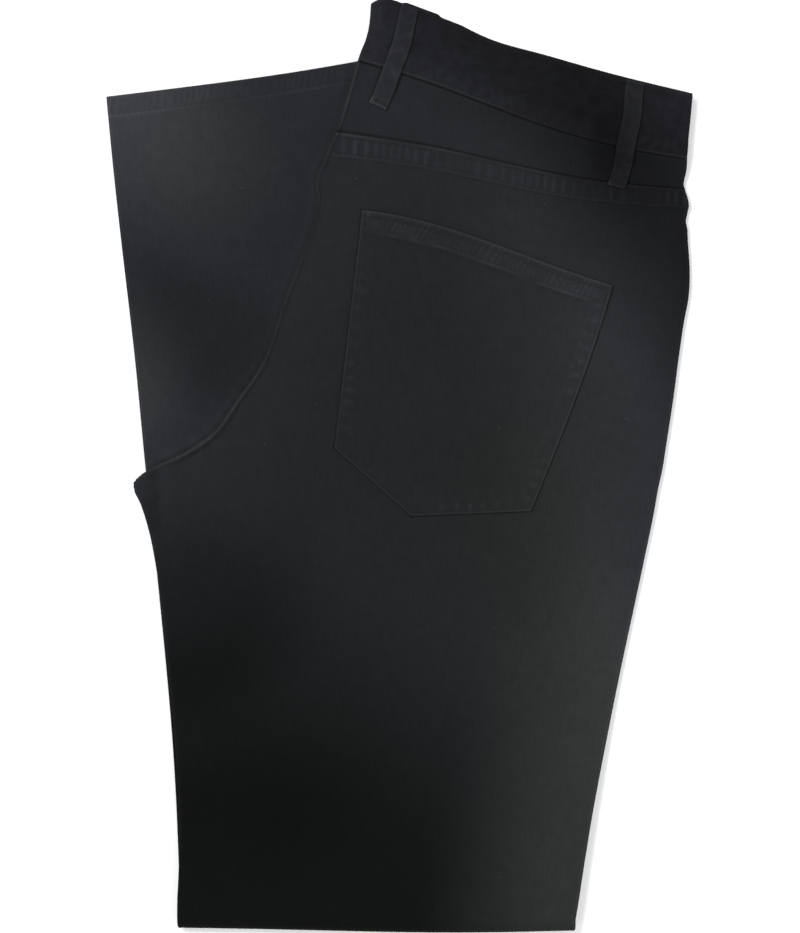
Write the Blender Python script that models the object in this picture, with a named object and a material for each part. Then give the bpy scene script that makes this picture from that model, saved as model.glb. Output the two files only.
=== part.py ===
"""Black tapered jeans, folded for a shelf: in half along the seat seam, then the legs folded under at the knee.

The right back half faces up. Under it lie both fronts, then the left back half, and below these the same
four layers of the lower legs, which come out past the seat with their hems up. X runs across the garment,
+Y towards the waist, and Z = 0 is the table. The origin is the middle of the folded garment.
"""

import math
from collections import namedtuple

import bmesh
import bpy
from mathutils import Vector

MM = 0.001

# Cloth, in millimetres
DENIM = 1.2
GAP = 0.3
FRONTS = 3.0
SEAM_LAYER = 1.6
FELL_LAYER = 2.0
FELL_HEIGHT = 13.0
BAND_LAYER = 2.4
BAND_FRONTS = 4.8
SEAM_ALLOWANCE = 12.0
HEM_LAYER = 2.2
HEM_FRONTS = 4.4
HEM_HEIGHT = 12.0
EDGE_ROUND = 0.8

# Bed that the upper layers lie on: over the lower legs, and down to the table beside them
BED_MARGIN = 4.0
BED_FALL = 70.0
HEM_BED_MARGIN = 20.0
HEM_BED_FALL = 40.0
FOLD_PUFF = 3.0
FOLD_PUFF_REACH = 28.0

# Waistband's rounded corner at the centre-back fold
CORNER_REACH = 16.0
CORNER_DROP = 7.0

# Slack in the waist edge beside the centre-back loop, across from the fold
WAIST_DIP = 2.7
WAIST_DIP_ACROSS = 80.0
WAIST_DIP_REACH = 25.0

COLUMNS = 15
FOLD_STEPS = 7

# A rung crosses the garment from its left edge to its right edge. Bow lifts its middle towards the waist,
# and sway lifts its left half and lowers its right half.
Rung = namedtuple("Rung", "name left_x left_y right_x right_y bow sway")

THIGH_RUNGS = (
    Rung("waist edge", -17.2, 290.3, 179.9, 228.8, -4.0, 0.4),
    Rung("band middle", -19.1, 267.5, 178.0, 208.5, -4.2, 1.2),
    Rung("band seam", -25.2, 248.5, 175.9, 188.8, -4.3, 2.1),
    Rung("yoke seam", -38.7, 204.8, 174.5, 170.4, -1.9, 2.1),
    Rung("fell edge", -45.2, 190.6, 176.5, 158.7, -2.4, 2.4),
    Rung("pocket mouth", -50.7, 168.7, 176.8, 135.9, -1.0, 1.0),
    Rung("seat upper", -59.3, 132.2, 177.1, 111.3, 0.0, 0.0),
    Rung("seat middle", -71.0, 100.9, 174.7, 89.8, 0.0, 0.0),
    Rung("seat lower", -83.3, 65.2, 171.3, 65.2, 0.0, 0.0),
    Rung("seat curve", -99.3, 41.8, 168.5, 43.7, 0.0, 0.0),
    Rung("seat hollow", -114.1, 21.5, 165.7, 25.2, 0.0, 0.0),
    Rung("crotch rise", -133.5, 8.0, 163.3, 9.8, 0.0, 0.0),
    Rung("crotch upper", -151.8, -0.8, 161.4, -2.5, 0.0, 0.0),
    Rung("crotch tip", -163.2, -10.4, 159.0, -12.9, 0.0, 0.0),
    Rung("crotch lower", -157.8, -25.0, 156.2, -28.9, 0.0, 0.0),
    Rung("thigh upper", -151.9, -46.7, 151.9, -49.8, 0.0, 0.0),
    Rung("thigh middle", -146.2, -82.4, 144.7, -83.6, 0.0, 0.0),
    Rung("thigh lower", -141.1, -126.7, 135.3, -127.3, 0.0, 0.0),
    Rung("knee upper", -137.5, -169.7, 126.7, -169.7, 0.0, 0.0),
    Rung("knee middle", -134.8, -212.8, 118.4, -212.8, 0.0, 0.0),
    Rung("knee lower", -135.3, -246.0, 112.9, -246.0, 0.0, 0.0),
    Rung("fold upper", -136.2, -267.0, 109.5, -268.0, -1.0, 0.3),
    Rung("fold", -136.2, -275.4, 107.9, -277.1, -1.6, 0.5),
)
SHIN_RUNGS = (
    Rung("fold", -136.2, -275.4, 107.9, -277.1, -1.6, 0.5),
    Rung("shin top", -135.6, -246.0, 99.9, -246.0, 0.0, 0.0),
    Rung("shin upper", -139.4, -169.7, 83.0, -167.3, 0.0, 0.0),
    Rung("shin middle", -147.3, -82.4, 63.7, -76.3, 0.0, 0.0),
    Rung("shin lower", -156.0, -1.2, 45.0, 11.1, 0.0, 0.0),
    Rung("calf", -162.4, 64.6, 29.8, 81.2, 0.0, 0.0),
    Rung("ankle upper", -171.3, 141.4, 12.6, 163.6, 0.0, 0.0),
    Rung("ankle", -177.0, 194.3, 0.3, 221.4, -1.2, 0.0),
    Rung("hem edge", -179.9, 226.9, -5.8, 252.3, -1.7, 0.2),
)

# Back pocket, its corners in order round the outline, on the right back panel
PocketCorner = namedtuple("PocketCorner", "name x y")
POCKET_CORNERS = (
    PocketCorner("mouth left", -23.1, 158.9),
    PocketCorner("bottom left", -40.3, 11.1),
    PocketCorner("point", 7.1, -30.8),
    PocketCorner("bottom right", 80.9, -27.7),
    PocketCorner("side lower", 101.8, 24.6),
    PocketCorner("side middle", 115.9, 62.1),
    PocketCorner("side upper", 127.0, 97.8),
    PocketCorner("mouth right", 131.3, 111.6),
)
POCKET_LAYER = 1.4
POCKET_MOUTH_LAYER = 2.2
POCKET_MOUTH_HEM = 14.0

# Belt loops: how far along the garment each end lies, and how far across from the fold its top, middle and foot
Loop = namedtuple("Loop", "name top foot top_across middle_across foot_across")
LOOPS = (
    Loop("belt_loop_centre", 1.0, 59.3, 26.0, 21.9, 19.4),
    Loop("belt_loop_side", 1.5, 76.2, 170.8, 171.6, 176.0),
)
LOOP_WIDTH = 11.4
LOOP_LAYER = 1.8
LOOP_RISE = 0.9
LOOP_LEAD = 6.5
LOOP_STEPS = 8

DENIM_COLOUR = (0.021, 0.022, 0.025, 1.0)
BAND_COLOUR = (0.015, 0.016, 0.019, 1.0)
INSIDE_COLOUR = (0.012, 0.012, 0.014, 1.0)
CLOTH_ROUGHNESS = 0.9


def ease(t):
    """0 below 0, 1 above 1, and a half cosine between."""
    return 0.5 - 0.5 * math.cos(math.pi * min(max(t, 0.0), 1.0))


def mix(a, b, t):
    return a + (b - a) * t


class Ladder:
    """The garment's outline as rungs, read at any distance along its middle."""

    def __init__(self, rungs):
        self.rungs = rungs
        self.along = [0.0]
        for one, two in zip(rungs, rungs[1:]):
            across = 0.5 * (two.left_x + two.right_x - one.left_x - one.right_x)
            down = 0.5 * (two.left_y + two.right_y - one.left_y - one.right_y)
            self.along.append(self.along[-1] + math.hypot(across, down))
        self.length = self.along[-1]

    def at(self, name):
        return self.along[[rung.name for rung in self.rungs].index(name)]

    def slope(self, i, field):
        low, high = max(i - 1, 0), min(i + 1, len(self.rungs) - 1)
        rise = getattr(self.rungs[high], field) - getattr(self.rungs[low], field)
        return rise / (self.along[high] - self.along[low])

    def read(self, s, field):
        """A smooth curve through the rungs' values."""
        s = min(max(s, 0.0), self.length)
        i = max(k for k in range(len(self.rungs) - 1) if self.along[k] <= s)
        span = self.along[i + 1] - self.along[i]
        t = (s - self.along[i]) / span
        start, end = getattr(self.rungs[i], field), getattr(self.rungs[i + 1], field)
        leave, arrive = self.slope(i, field) * span, self.slope(i + 1, field) * span
        return (
            start * (1 + 2 * t) * (1 - t) ** 2
            + leave * t * (1 - t) ** 2
            + end * t * t * (3 - 2 * t)
            + arrive * t * t * (t - 1)
        )

    def width(self, s):
        across = self.read(s, "right_x") - self.read(s, "left_x")
        return math.hypot(across, self.read(s, "right_y") - self.read(s, "left_y"))

    def point(self, s, a):
        """Plan position at a distance s along and a across."""
        left_x, left_y = self.read(s, "left_x"), self.read(s, "left_y")
        across = (self.read(s, "right_x") - left_x) / self.width(s)
        down = (self.read(s, "right_y") - left_y) / self.width(s)
        u = a / self.width(s)
        lift = self.read(s, "bow") * math.sin(math.pi * u)
        lift += self.read(s, "sway") * math.sin(2 * math.pi * u)
        return left_x + across * a - down * lift, left_y + down * a + across * lift


THIGH = Ladder(THIGH_RUNGS)
SHIN = Ladder(SHIN_RUNGS)

STACK = 2 * DENIM + 2 * GAP + FRONTS
FOLD_RADIUS = 0.5 * (GAP + FOLD_PUFF)
FOLD_ARC = math.pi * (FOLD_RADIUS + 0.5 * STACK)
BAND_SEAM = THIGH.at("band seam")
YOKE_SEAM = THIGH.at("yoke seam")
FOLD_START = THIGH.length
FOLD_END = FOLD_START + FOLD_ARC
HEM_EDGE = FOLD_END + SHIN.length


def hem_share(s):
    """0 on the leg and 1 on the turned-up hem."""
    return ease((s - (HEM_EDGE - HEM_HEIGHT - EDGE_ROUND)) / EDGE_ROUND)


def under_layer(s):
    """Thickness of the left back half, which lies inside the knee fold."""
    band = 1 - ease((s - BAND_SEAM) / SEAM_ALLOWANCE)
    return DENIM + band * (BAND_LAYER - DENIM) + hem_share(s) * (HEM_LAYER - DENIM)


def front_layers(s):
    band = 1 - ease((s - BAND_SEAM) / (2 * SEAM_ALLOWANCE))
    return FRONTS + band * (BAND_FRONTS - FRONTS) + hem_share(s) * (HEM_FRONTS - FRONTS)


def top_layer(s):
    """Thickness of the right back half: waistband, yoke and leg panel in turn."""
    if s < BAND_SEAM:
        return BAND_LAYER
    if s < YOKE_SEAM:
        return SEAM_LAYER - (SEAM_LAYER - DENIM) * ease((s - BAND_SEAM) / SEAM_ALLOWANCE)
    fell = 1 - ease((s - YOKE_SEAM - FELL_HEIGHT) / EDGE_ROUND)
    return DENIM + fell * (FELL_LAYER - DENIM) + hem_share(s) * (HEM_LAYER - DENIM)


def fronts_low(s):
    return under_layer(s) + GAP


def fronts_high(s):
    return fronts_low(s) + front_layers(s)


def top_low(s):
    return fronts_high(s) + GAP


def top_high(s):
    return top_low(s) + top_layer(s)


def beside(x, y, start, end, inside):
    """Distance outside the line from start to end, negative on the side where the point inside lies."""
    along = Vector(end) - Vector(start)
    normal = Vector((-along.y, along.x)).normalized()
    if normal.dot(Vector(inside) - Vector(start)) > 0:
        normal = -normal
    return normal.dot(Vector((x, y)) - Vector(start))


def bed(x, y):
    """Height of what the upper layers lie on: the lower legs, or the table beyond them."""
    fold, calf, hem = SHIN_RUNGS[0], SHIN_RUNGS[4], SHIN_RUNGS[-1]
    inside = (-100.0, 0.0)
    past_right = beside(x, y, (fold.right_x, fold.right_y), (hem.right_x, hem.right_y), inside)
    past_left = beside(x, y, (calf.left_x, calf.left_y), (hem.left_x, hem.left_y), inside)
    past_hem = beside(x, y, (hem.left_x, hem.left_y), (hem.right_x, hem.right_y), inside)
    off = math.hypot(max(past_right, past_left if y > calf.left_y else 0.0, 0.0), max(past_hem, 0.0))
    thick = 1 - ease((-past_hem - HEM_BED_MARGIN) / HEM_BED_FALL)
    hem_rise = 2 * HEM_LAYER + HEM_FRONTS - 2 * DENIM - FRONTS
    return (STACK + GAP + thick * hem_rise) * (1 - ease((off - BED_MARGIN) / BED_FALL))


def place(s, a, n):
    """World position, in millimetres, of the point s along, a across and n up through the layers."""
    if s < FOLD_START:
        if s < BAND_SEAM:
            corner = (1 - min(max(a, 0.0) / CORNER_REACH, 1.0)) ** 2
            dip = math.exp(-(((a - WAIST_DIP_ACROSS) / WAIST_DIP_REACH) ** 2))
            s += (CORNER_DROP * corner + WAIST_DIP * dip) * (1 - s / BAND_SEAM)
        x, y = THIGH.point(s, a)
        puff = FOLD_PUFF * math.exp(-(((FOLD_START - s) / FOLD_PUFF_REACH) ** 2))
        return Vector((x, y, bed(x, y) + puff + n))
    if s <= FOLD_END:
        x, y = THIGH.point(FOLD_START, a)
        turn = math.pi * (s - FOLD_START) / FOLD_ARC
        reach = FOLD_RADIUS + n
        return Vector((x, y - reach * math.sin(turn), STACK + FOLD_RADIUS + reach * math.cos(turn)))
    x, y = SHIN.point(s - FOLD_END, a)
    return Vector((x, y, top_high(s) - n))


def width_at(s):
    if s <= FOLD_START:
        return THIGH.width(s)
    return SHIN.width(max(s - FOLD_END, 0.0)) if s > FOLD_END else THIGH.width(FOLD_START)


def seat_share(s):
    """1 where the seat seam joins the two backs round the left edge, 0 below the crotch."""
    start, end = THIGH.at("crotch rise"), THIGH.at("crotch tip")
    return 1 - ease((s - start) / (end - start))


def rows_between(start, end):
    """Distances along the garment where the layers share their cross-sections."""
    found = [s for s in THIGH.along if start < s < end]
    found += [FOLD_START + FOLD_ARC * i / FOLD_STEPS for i in range(1, FOLD_STEPS + 1)]
    found += [FOLD_END + s for s in SHIN.along[1:]]
    found += [mix(0, BAND_SEAM, share) for share in (1 / 3, 2 / 3)]
    found += [mix(BAND_SEAM, YOKE_SEAM, share) for share in (1 / 3, 2 / 3)]
    found += [HEM_EDGE - HEM_HEIGHT - EDGE_ROUND, HEM_EDGE - HEM_HEIGHT]
    return sorted(s for s in found if start < s < end)


def piece_rows(start, end):
    """Rows of one cut piece, with its two ends rounded."""
    inner = [s for s in rows_between(start, end) if start + 2 * EDGE_ROUND < s < end - 2 * EDGE_ROUND]
    return [start, start + EDGE_ROUND] + inner + [end - EDGE_ROUND, end]


def inner_shares():
    return [i / COLUMNS for i in range(1, COLUMNS)]


def wall_columns(s, outer, inner, seam_tip, end_share):
    """One cross-section of a cloth wall, as pairs of outer and inner points (a, n).

    At its left edge the wall turns in to the seat seam as far as seat_share says.
    """
    thick = outer - inner
    outer -= end_share * 0.5 * thick
    turned = seat_share(s)
    half = mix(outer, inner, 0.5)
    wide = width_at(s)
    layer = abs(thick)
    pairs = [
        ((0.0, mix(half, seam_tip, turned)), (layer * turned, mix(inner, seam_tip, turned))),
        ((0.25 * layer, mix(outer, inner, 0.15)), (mix(0.25, 1.0, turned) * layer, inner)),
        ((1.2 * layer, outer), (1.6 * layer, inner)),
    ]
    pairs += [((share * wide, outer), (share * wide, inner)) for share in inner_shares()]
    pairs += [((wide - layer, outer), (wide - layer, inner)), ((wide, half), (wide, inner))]
    return pairs


def seam_level(s):
    return 0.5 * (fronts_low(s) + fronts_high(s))


def top_wall(s, end_share):
    return wall_columns(s, top_high(s), top_low(s), seam_level(s) + 0.5 * GAP, end_share)


def under_wall(s, end_share):
    return wall_columns(s, 0.0, under_layer(s), seam_level(s) - 0.5 * GAP, end_share)


def band_wall(s, end_share):
    """The waistband runs over the top layer, round the centre-back fold and under."""
    middle = seam_level(s)
    over = wall_columns(s, top_high(s), top_low(s), middle, end_share)
    under = wall_columns(s, 0.0, under_layer(s), middle, end_share)
    return over[::-1] + under[1:]


def cloth_material(name, colour):
    material = bpy.data.materials.new(name)
    material.use_nodes = True
    shader = material.node_tree.nodes["Principled BSDF"]
    shader.inputs["Base Color"].default_value = colour
    shader.inputs["Roughness"].default_value = CLOTH_ROUGHNESS
    shader.inputs["Metallic"].default_value = 0.0
    return material


def add_solid(name, mesh_in_edit, colour):
    bmesh.ops.remove_doubles(mesh_in_edit, verts=mesh_in_edit.verts, dist=0.005 * MM)
    bmesh.ops.recalc_face_normals(mesh_in_edit, faces=mesh_in_edit.faces)
    mesh = bpy.data.meshes.new(name)
    mesh_in_edit.to_mesh(mesh)
    mesh_in_edit.free()
    mesh.materials.append(cloth_material(name + "_cloth", colour))
    mesh.shade_smooth()
    mesh.set_sharp_from_angle(angle=math.radians(35))
    solid = bpy.data.objects.new(name, mesh)
    garment.objects.link(solid)
    return solid


def loft(name, outer, inner, colour):
    """A closed wall between two grids of points that have the same rows and columns."""
    made = bmesh.new()
    grids = [[[made.verts.new(p * MM) for p in row] for row in grid] for grid in (outer, inner)]
    rows, columns = len(outer), len(outer[0])
    for grid in grids:
        for one, two in zip(grid, grid[1:]):
            for i in range(columns - 1):
                made.faces.new((one[i], one[i + 1], two[i + 1], two[i]))
    rim = [(0, i) for i in range(columns - 1)]
    rim += [(j, columns - 1) for j in range(rows - 1)]
    rim += [(rows - 1, i) for i in range(columns - 1, 0, -1)]
    rim += [(j, 0) for j in range(rows - 1, 0, -1)]
    for (j, i), (k, m) in zip(rim, rim[1:] + rim[:1]):
        made.faces.new((grids[0][j][i], grids[0][k][m], grids[1][k][m], grids[1][j][i]))
    return add_solid(name, made, colour)


def add_wall(name, start, end, section, colour):
    """A cut piece of cloth between two seams."""
    rows = piece_rows(start, end)
    outer, inner = [], []
    for s in rows:
        pairs = section(s, 1.0 if s in (start, end) else 0.0)
        outer.append([place(s, *pair[0]) for pair in pairs])
        inner.append([place(s, *pair[1]) for pair in pairs])
    return loft(name, outer, inner, colour)


# The two fronts as one solid: how far its rim steps in, and how much of its half thickness is left there
LIP = ((1.0, 0.0), (0.0, 0.3), (0.0, 0.75), (0.9, 1.0))


def add_fronts(name, colour):
    """Both fronts, hidden inside, share one solid whose rim is grooved between its two layers."""
    inner = rows_between(3 * EDGE_ROUND, HEM_EDGE - 3 * EDGE_ROUND)
    inner += [BAND_SEAM + EDGE_ROUND, YOKE_SEAM + EDGE_ROUND]
    rows = [(EDGE_ROUND + inset, share) for inset, share in LIP]
    rows += [(s, 1.0) for s in sorted(inner)]
    rows += [(HEM_EDGE - EDGE_ROUND - inset, share) for inset, share in reversed(LIP)]
    high, low = [], []
    for s, row_share in rows:
        left = seat_share(s) * (max(top_layer(s), under_layer(s)) + GAP)
        wide = width_at(s)
        columns = [(left + inset, share) for inset, share in LIP]
        columns += [(share * wide, 1.0) for share in inner_shares()]
        columns += [(wide - inset, share) for inset, share in reversed(LIP)]
        middle = seam_level(s)
        half = 0.5 * front_layers(s)
        high.append([place(s, a, middle + half * min(share, row_share)) for a, share in columns])
        low.append([place(s, a, middle - half * min(share, row_share)) for a, share in columns])
    return loft(name, high, low, colour)


def add_pocket(name, colour):
    """The back pocket, cut from the right back panel's own top points and moved out from them."""
    made = bmesh.new()
    rows = [s for s in piece_rows(YOKE_SEAM + 0.5 * GAP, HEM_EDGE) if s < THIGH.at("thigh upper")]
    grid = []
    for s in rows:
        pairs = top_wall(s, 0.0)
        grid.append([made.verts.new(place(s, *pair[0])) for pair in pairs])
    for one, two in zip(grid, grid[1:]):
        for i in range(len(one) - 1):
            made.faces.new((one[i], one[i + 1], two[i + 1], two[i]))
    bmesh.ops.triangulate(made, faces=made.faces)
    corners = [Vector((corner.x, corner.y, 0.0)) for corner in POCKET_CORNERS]
    for one, two in zip(corners, corners[1:] + corners[:1]):
        out = Vector(((two - one).y, -(two - one).x, 0.0)).normalized()
        inside = sum(corners, Vector()) / len(corners) - one
        if out.dot(inside) > 0:
            out = -out
        parts = made.verts[:] + made.edges[:] + made.faces[:]
        bmesh.ops.bisect_plane(made, geom=parts, plane_co=one, plane_no=out, clear_outer=True)
    mouth_left, mouth_right = corners[0], corners[-1]
    run = (mouth_right - mouth_left).normalized()
    down = Vector((run.y, -run.x, 0.0))
    for depth in (POCKET_MOUTH_HEM, POCKET_MOUTH_HEM + EDGE_ROUND):
        parts = made.verts[:] + made.edges[:] + made.faces[:]
        bmesh.ops.bisect_plane(made, geom=parts, plane_co=mouth_left + down * depth, plane_no=down)
    under = [vert.co.copy() for vert in made.verts]
    extruded = bmesh.ops.extrude_face_region(made, geom=made.faces[:])
    raised = [part for part in extruded["geom"] if isinstance(part, bmesh.types.BMVert)]
    for vert in raised:
        depth = down.dot(Vector((vert.co.x, vert.co.y, 0.0)) - mouth_left)
        hem = 1 - ease((depth - POCKET_MOUTH_HEM) / EDGE_ROUND)
        vert.co.z += GAP + POCKET_LAYER + hem * (POCKET_MOUTH_LAYER - POCKET_LAYER)
    lifted = set(raised)
    for vert in made.verts:
        if vert not in lifted:
            vert.co.z += GAP
        vert.co *= MM
    return add_solid(name, made, colour)


def add_loop(loop, colour):
    """A belt loop: a strip that bridges the waistband and rests on the cloth at both ends."""
    half_width = 0.5 * LOOP_WIDTH
    across = (
        (-half_width, 0.5),
        (-half_width + 0.5 * LOOP_LAYER, 1.0),
        (half_width - 0.5 * LOOP_LAYER, 1.0),
        (half_width, 0.5),
    )
    outer, inner = [], []
    for step in range(LOOP_STEPS + 1):
        t = step / LOOP_STEPS
        s = mix(loop.top, loop.foot, t)
        bend = loop.middle_across - 0.5 * (loop.top_across + loop.foot_across)
        centre = mix(loop.top_across, loop.foot_across, t) + bend * 4 * t * (1 - t)
        band_height = top_low(min(s, BAND_SEAM)) + BAND_LAYER
        past_seam = ease((s - BAND_SEAM - 2 * EDGE_ROUND) / SEAM_ALLOWANCE)
        past_band = max(s, BAND_SEAM + GAP)
        height = mix(band_height, max(top_high(past_band), top_high(past_band + LOOP_LEAD)), past_seam)
        low = height + GAP + LOOP_RISE * math.sin(math.pi * t)
        thick = LOOP_LAYER * (0.5 if step in (0, LOOP_STEPS) else 1.0)
        outer.append([place(s, centre + a, low + share * thick) for a, share in across])
        inner.append([place(s, centre + a, low) for a, share in across])
    return loft(loop.name, outer, inner, colour)


for leftover in list(bpy.data.objects):
    bpy.data.objects.remove(leftover, do_unlink=True)
garment = bpy.data.collections.new("folded_tapered_jeans")
bpy.context.scene.collection.children.link(garment)

add_fronts("hidden_fronts", INSIDE_COLOUR)
add_wall("waistband", 0.0, BAND_SEAM - 0.5 * GAP, band_wall, BAND_COLOUR)
add_wall("right_yoke", BAND_SEAM + 0.5 * GAP, YOKE_SEAM - 0.5 * GAP, top_wall, DENIM_COLOUR)
add_wall("left_yoke", BAND_SEAM + 0.5 * GAP, YOKE_SEAM - 0.5 * GAP, under_wall, DENIM_COLOUR)
add_wall("right_back_panel", YOKE_SEAM + 0.5 * GAP, HEM_EDGE, top_wall, DENIM_COLOUR)
add_wall("left_back_panel", YOKE_SEAM + 0.5 * GAP, HEM_EDGE, under_wall, DENIM_COLOUR)
add_pocket("back_pocket", DENIM_COLOUR)
for each in LOOPS:
    add_loop(each, BAND_COLOUR)
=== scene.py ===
"""Looks of a pair of black tapered jeans, folded in half along the seat seam and then under at the knee.

The right back half faces up, and the left lower leg comes out under it with its hem up. X runs across the
garment, y towards the waist and z up. Cloth is worked out in millimetres and laid in metres.
"""

import math
from collections import namedtuple

import bpy
import numpy as np
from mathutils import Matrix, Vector
from mathutils.bvhtree import BVHTree
from numpy.polynomial.polynomial import polyfit, polyval


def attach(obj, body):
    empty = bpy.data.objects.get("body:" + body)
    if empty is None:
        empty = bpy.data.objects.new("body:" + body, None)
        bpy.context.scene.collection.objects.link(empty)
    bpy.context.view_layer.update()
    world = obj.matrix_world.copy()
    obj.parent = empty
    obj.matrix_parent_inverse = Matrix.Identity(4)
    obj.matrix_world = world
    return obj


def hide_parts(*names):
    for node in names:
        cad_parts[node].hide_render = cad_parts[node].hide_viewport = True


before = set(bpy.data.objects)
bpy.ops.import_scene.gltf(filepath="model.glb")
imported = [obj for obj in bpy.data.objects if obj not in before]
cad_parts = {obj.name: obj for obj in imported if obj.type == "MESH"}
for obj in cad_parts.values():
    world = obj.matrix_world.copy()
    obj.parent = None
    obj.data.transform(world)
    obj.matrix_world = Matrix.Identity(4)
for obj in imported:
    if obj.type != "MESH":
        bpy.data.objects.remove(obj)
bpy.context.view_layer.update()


# Right back panel
# The back of the right leg, one cut of 1.2 mm black stretch denim from the yoke seam to the hem. It is
# felled onto the yoke with two rows of stitching, runs down the leg, round the knee fold and back along
# the table. Its left edge carries the rolled seat seam and, below the crotch, the inseam.

MM = 0.001
DENIM = 1.2
GAP = 0.3
FRONTS = 3.0
SEAM_LAYER = 1.6
FELL_LAYER = 2.0
FELL_HEIGHT = 13.0
BAND_LAYER = 2.4
BAND_FRONTS = 4.8
SEAM_ALLOWANCE = 12.0
HEM_LAYER = 2.2
HEM_FRONTS = 4.4
HEM_HEIGHT = 12.0
HEM_SWELL = 16.0
HEM_STEP = 0.25
EDGE_ROUND = 0.8
BED_MARGIN = 4.0
BED_FALL = 70.0
HEM_BED_MARGIN = 20.0
HEM_BED_FALL = 40.0
FOLD_PUFF = 3.0
FOLD_PUFF_REACH = 28.0
CORNER_REACH = 16.0
CORNER_DROP = 7.0
WAIST_DIP = 2.0
WAIST_DIP_ACROSS = 80.0
WAIST_DIP_REACH = 25.0
WAIST_LIFT = 3.3
WAIST_LIFT_ACROSS = 34.0
WAIST_LIFT_REACH = 23.0

# A rung crosses the folded garment from its left edge to its right edge. Bow lifts its middle towards the
# waist, and sway lifts its left half and lowers its right half.
Rung = namedtuple("Rung", "name left_x left_y right_x right_y bow sway", defaults=(0.0, 0.0))
FOLD_RUNG = Rung("fold", -136.2, -275.4, 107.9, -277.1, -1.6, 0.5)
THIGH_RUNGS = (
    Rung("waist edge", -17.2, 290.3, 179.9, 228.8, -4.0, 0.4),
    Rung("band middle", -19.1, 267.5, 178.0, 208.5, -4.2, 1.2),
    Rung("band seam", -25.2, 248.5, 175.9, 188.8, -4.3, 2.1),
    Rung("yoke seam", -38.7, 204.8, 174.5, 170.4, -1.9, 2.1),
    Rung("fell edge", -45.2, 190.6, 176.5, 158.7, -2.4, 2.4),
    Rung("pocket mouth", -50.7, 168.7, 176.8, 135.9, -1.0, 1.0),
    Rung("seat upper", -59.3, 132.2, 177.1, 111.3),
    Rung("seat middle", -71.0, 100.9, 174.7, 89.8),
    Rung("seat lower", -83.3, 65.2, 171.3, 65.2),
    Rung("seat curve", -99.3, 41.8, 168.5, 43.7),
    Rung("seat hollow", -114.1, 21.5, 165.7, 25.2),
    Rung("crotch rise", -133.5, 8.0, 163.3, 9.8),
    Rung("crotch upper", -151.8, -0.8, 161.4, -2.5),
    Rung("crotch tip", -163.2, -10.4, 159.0, -12.9),
    Rung("crotch lower", -157.8, -25.0, 156.2, -28.9),
    Rung("thigh upper", -151.9, -46.7, 151.9, -49.8),
    Rung("thigh middle", -146.2, -82.4, 144.7, -83.6),
    Rung("thigh lower", -141.1, -126.7, 135.3, -127.3),
    Rung("knee upper", -137.5, -169.7, 126.7, -169.7),
    Rung("knee middle", -134.8, -212.8, 118.4, -212.8),
    Rung("knee lower", -135.3, -246.0, 112.9, -246.0),
    Rung("fold upper", -136.2, -267.0, 109.5, -268.0, -1.0, 0.3),
    FOLD_RUNG,
)
SHIN_RUNGS = (
    FOLD_RUNG,
    Rung("shin top", -135.6, -246.0, 99.9, -246.0),
    Rung("shin upper", -139.4, -169.7, 83.0, -167.3),
    Rung("shin middle", -147.3, -82.4, 63.7, -76.3),
    Rung("shin lower", -156.0, -1.2, 45.0, 11.1),
    Rung("calf", -162.4, 64.6, 29.8, 81.2),
    Rung("ankle upper", -171.3, 141.4, 12.6, 163.6),
    Rung("ankle", -177.0, 194.3, 0.3, 221.4, -1.2, 0.0),
    Rung("hem edge", -179.9, 226.9, -5.8, 252.3, -1.7, 0.2),
)


def ease(t):
    """0 below 0, 1 above 1, and a half cosine between."""
    return 0.5 - 0.5 * np.cos(np.pi * np.clip(t, 0.0, 1.0))


def mix(a, b, t):
    return a + (b - a) * t


def near(x, centre, width):
    """A soft bump of height 1 at the centre."""
    return np.exp(-(((x - centre) / width) ** 2))


def travelled(points):
    """Distance along a line of plan points, at each of them."""
    return np.concatenate([[0.0], np.cumsum(np.hypot(*np.diff(points, axis=0).T))])


class Ladder:
    """The garment's outline as rungs, read at any distances along its middle."""

    def __init__(self, rungs):
        self.names = [rung.name for rung in rungs]
        numbers = Rung._fields[1:]
        self.fields = {field: np.array([getattr(rung, field) for rung in rungs]) for field in numbers}
        across = 0.5 * (self.fields["left_x"] + self.fields["right_x"])
        down = 0.5 * (self.fields["left_y"] + self.fields["right_y"])
        self.along = travelled(np.stack([across, down], axis=-1))
        self.length = self.along[-1]

    def at(self, name):
        return self.along[self.names.index(name)]

    def read(self, s, field):
        """A smooth curve through the rungs' values."""
        values, last = self.fields[field], len(self.along) - 1
        s = np.clip(s, 0.0, self.length)
        i = np.clip(np.searchsorted(self.along, s, side="right") - 1, 0, last - 1)
        span = self.along[i + 1] - self.along[i]
        t = (s - self.along[i]) / span
        before, after = np.maximum(np.arange(last + 1) - 1, 0), np.minimum(np.arange(last + 1) + 1, last)
        slope = (values[after] - values[before]) / (self.along[after] - self.along[before])
        return (
            values[i] * (1 + 2 * t) * (1 - t) ** 2
            + slope[i] * span * t * (1 - t) ** 2
            + values[i + 1] * t * t * (3 - 2 * t)
            + slope[i + 1] * span * t * t * (t - 1)
        )

    def width(self, s):
        across = self.read(s, "right_x") - self.read(s, "left_x")
        return np.hypot(across, self.read(s, "right_y") - self.read(s, "left_y"))

    def point(self, s, a):
        """Plan position at a distance s along and a across."""
        left_x, left_y, wide = self.read(s, "left_x"), self.read(s, "left_y"), self.width(s)
        across = (self.read(s, "right_x") - left_x) / wide
        down = (self.read(s, "right_y") - left_y) / wide
        lift = self.read(s, "bow") * np.sin(np.pi * a / wide)
        lift = lift + self.read(s, "sway") * np.sin(2 * np.pi * a / wide)
        return left_x + across * a - down * lift, left_y + down * a + across * lift


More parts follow.
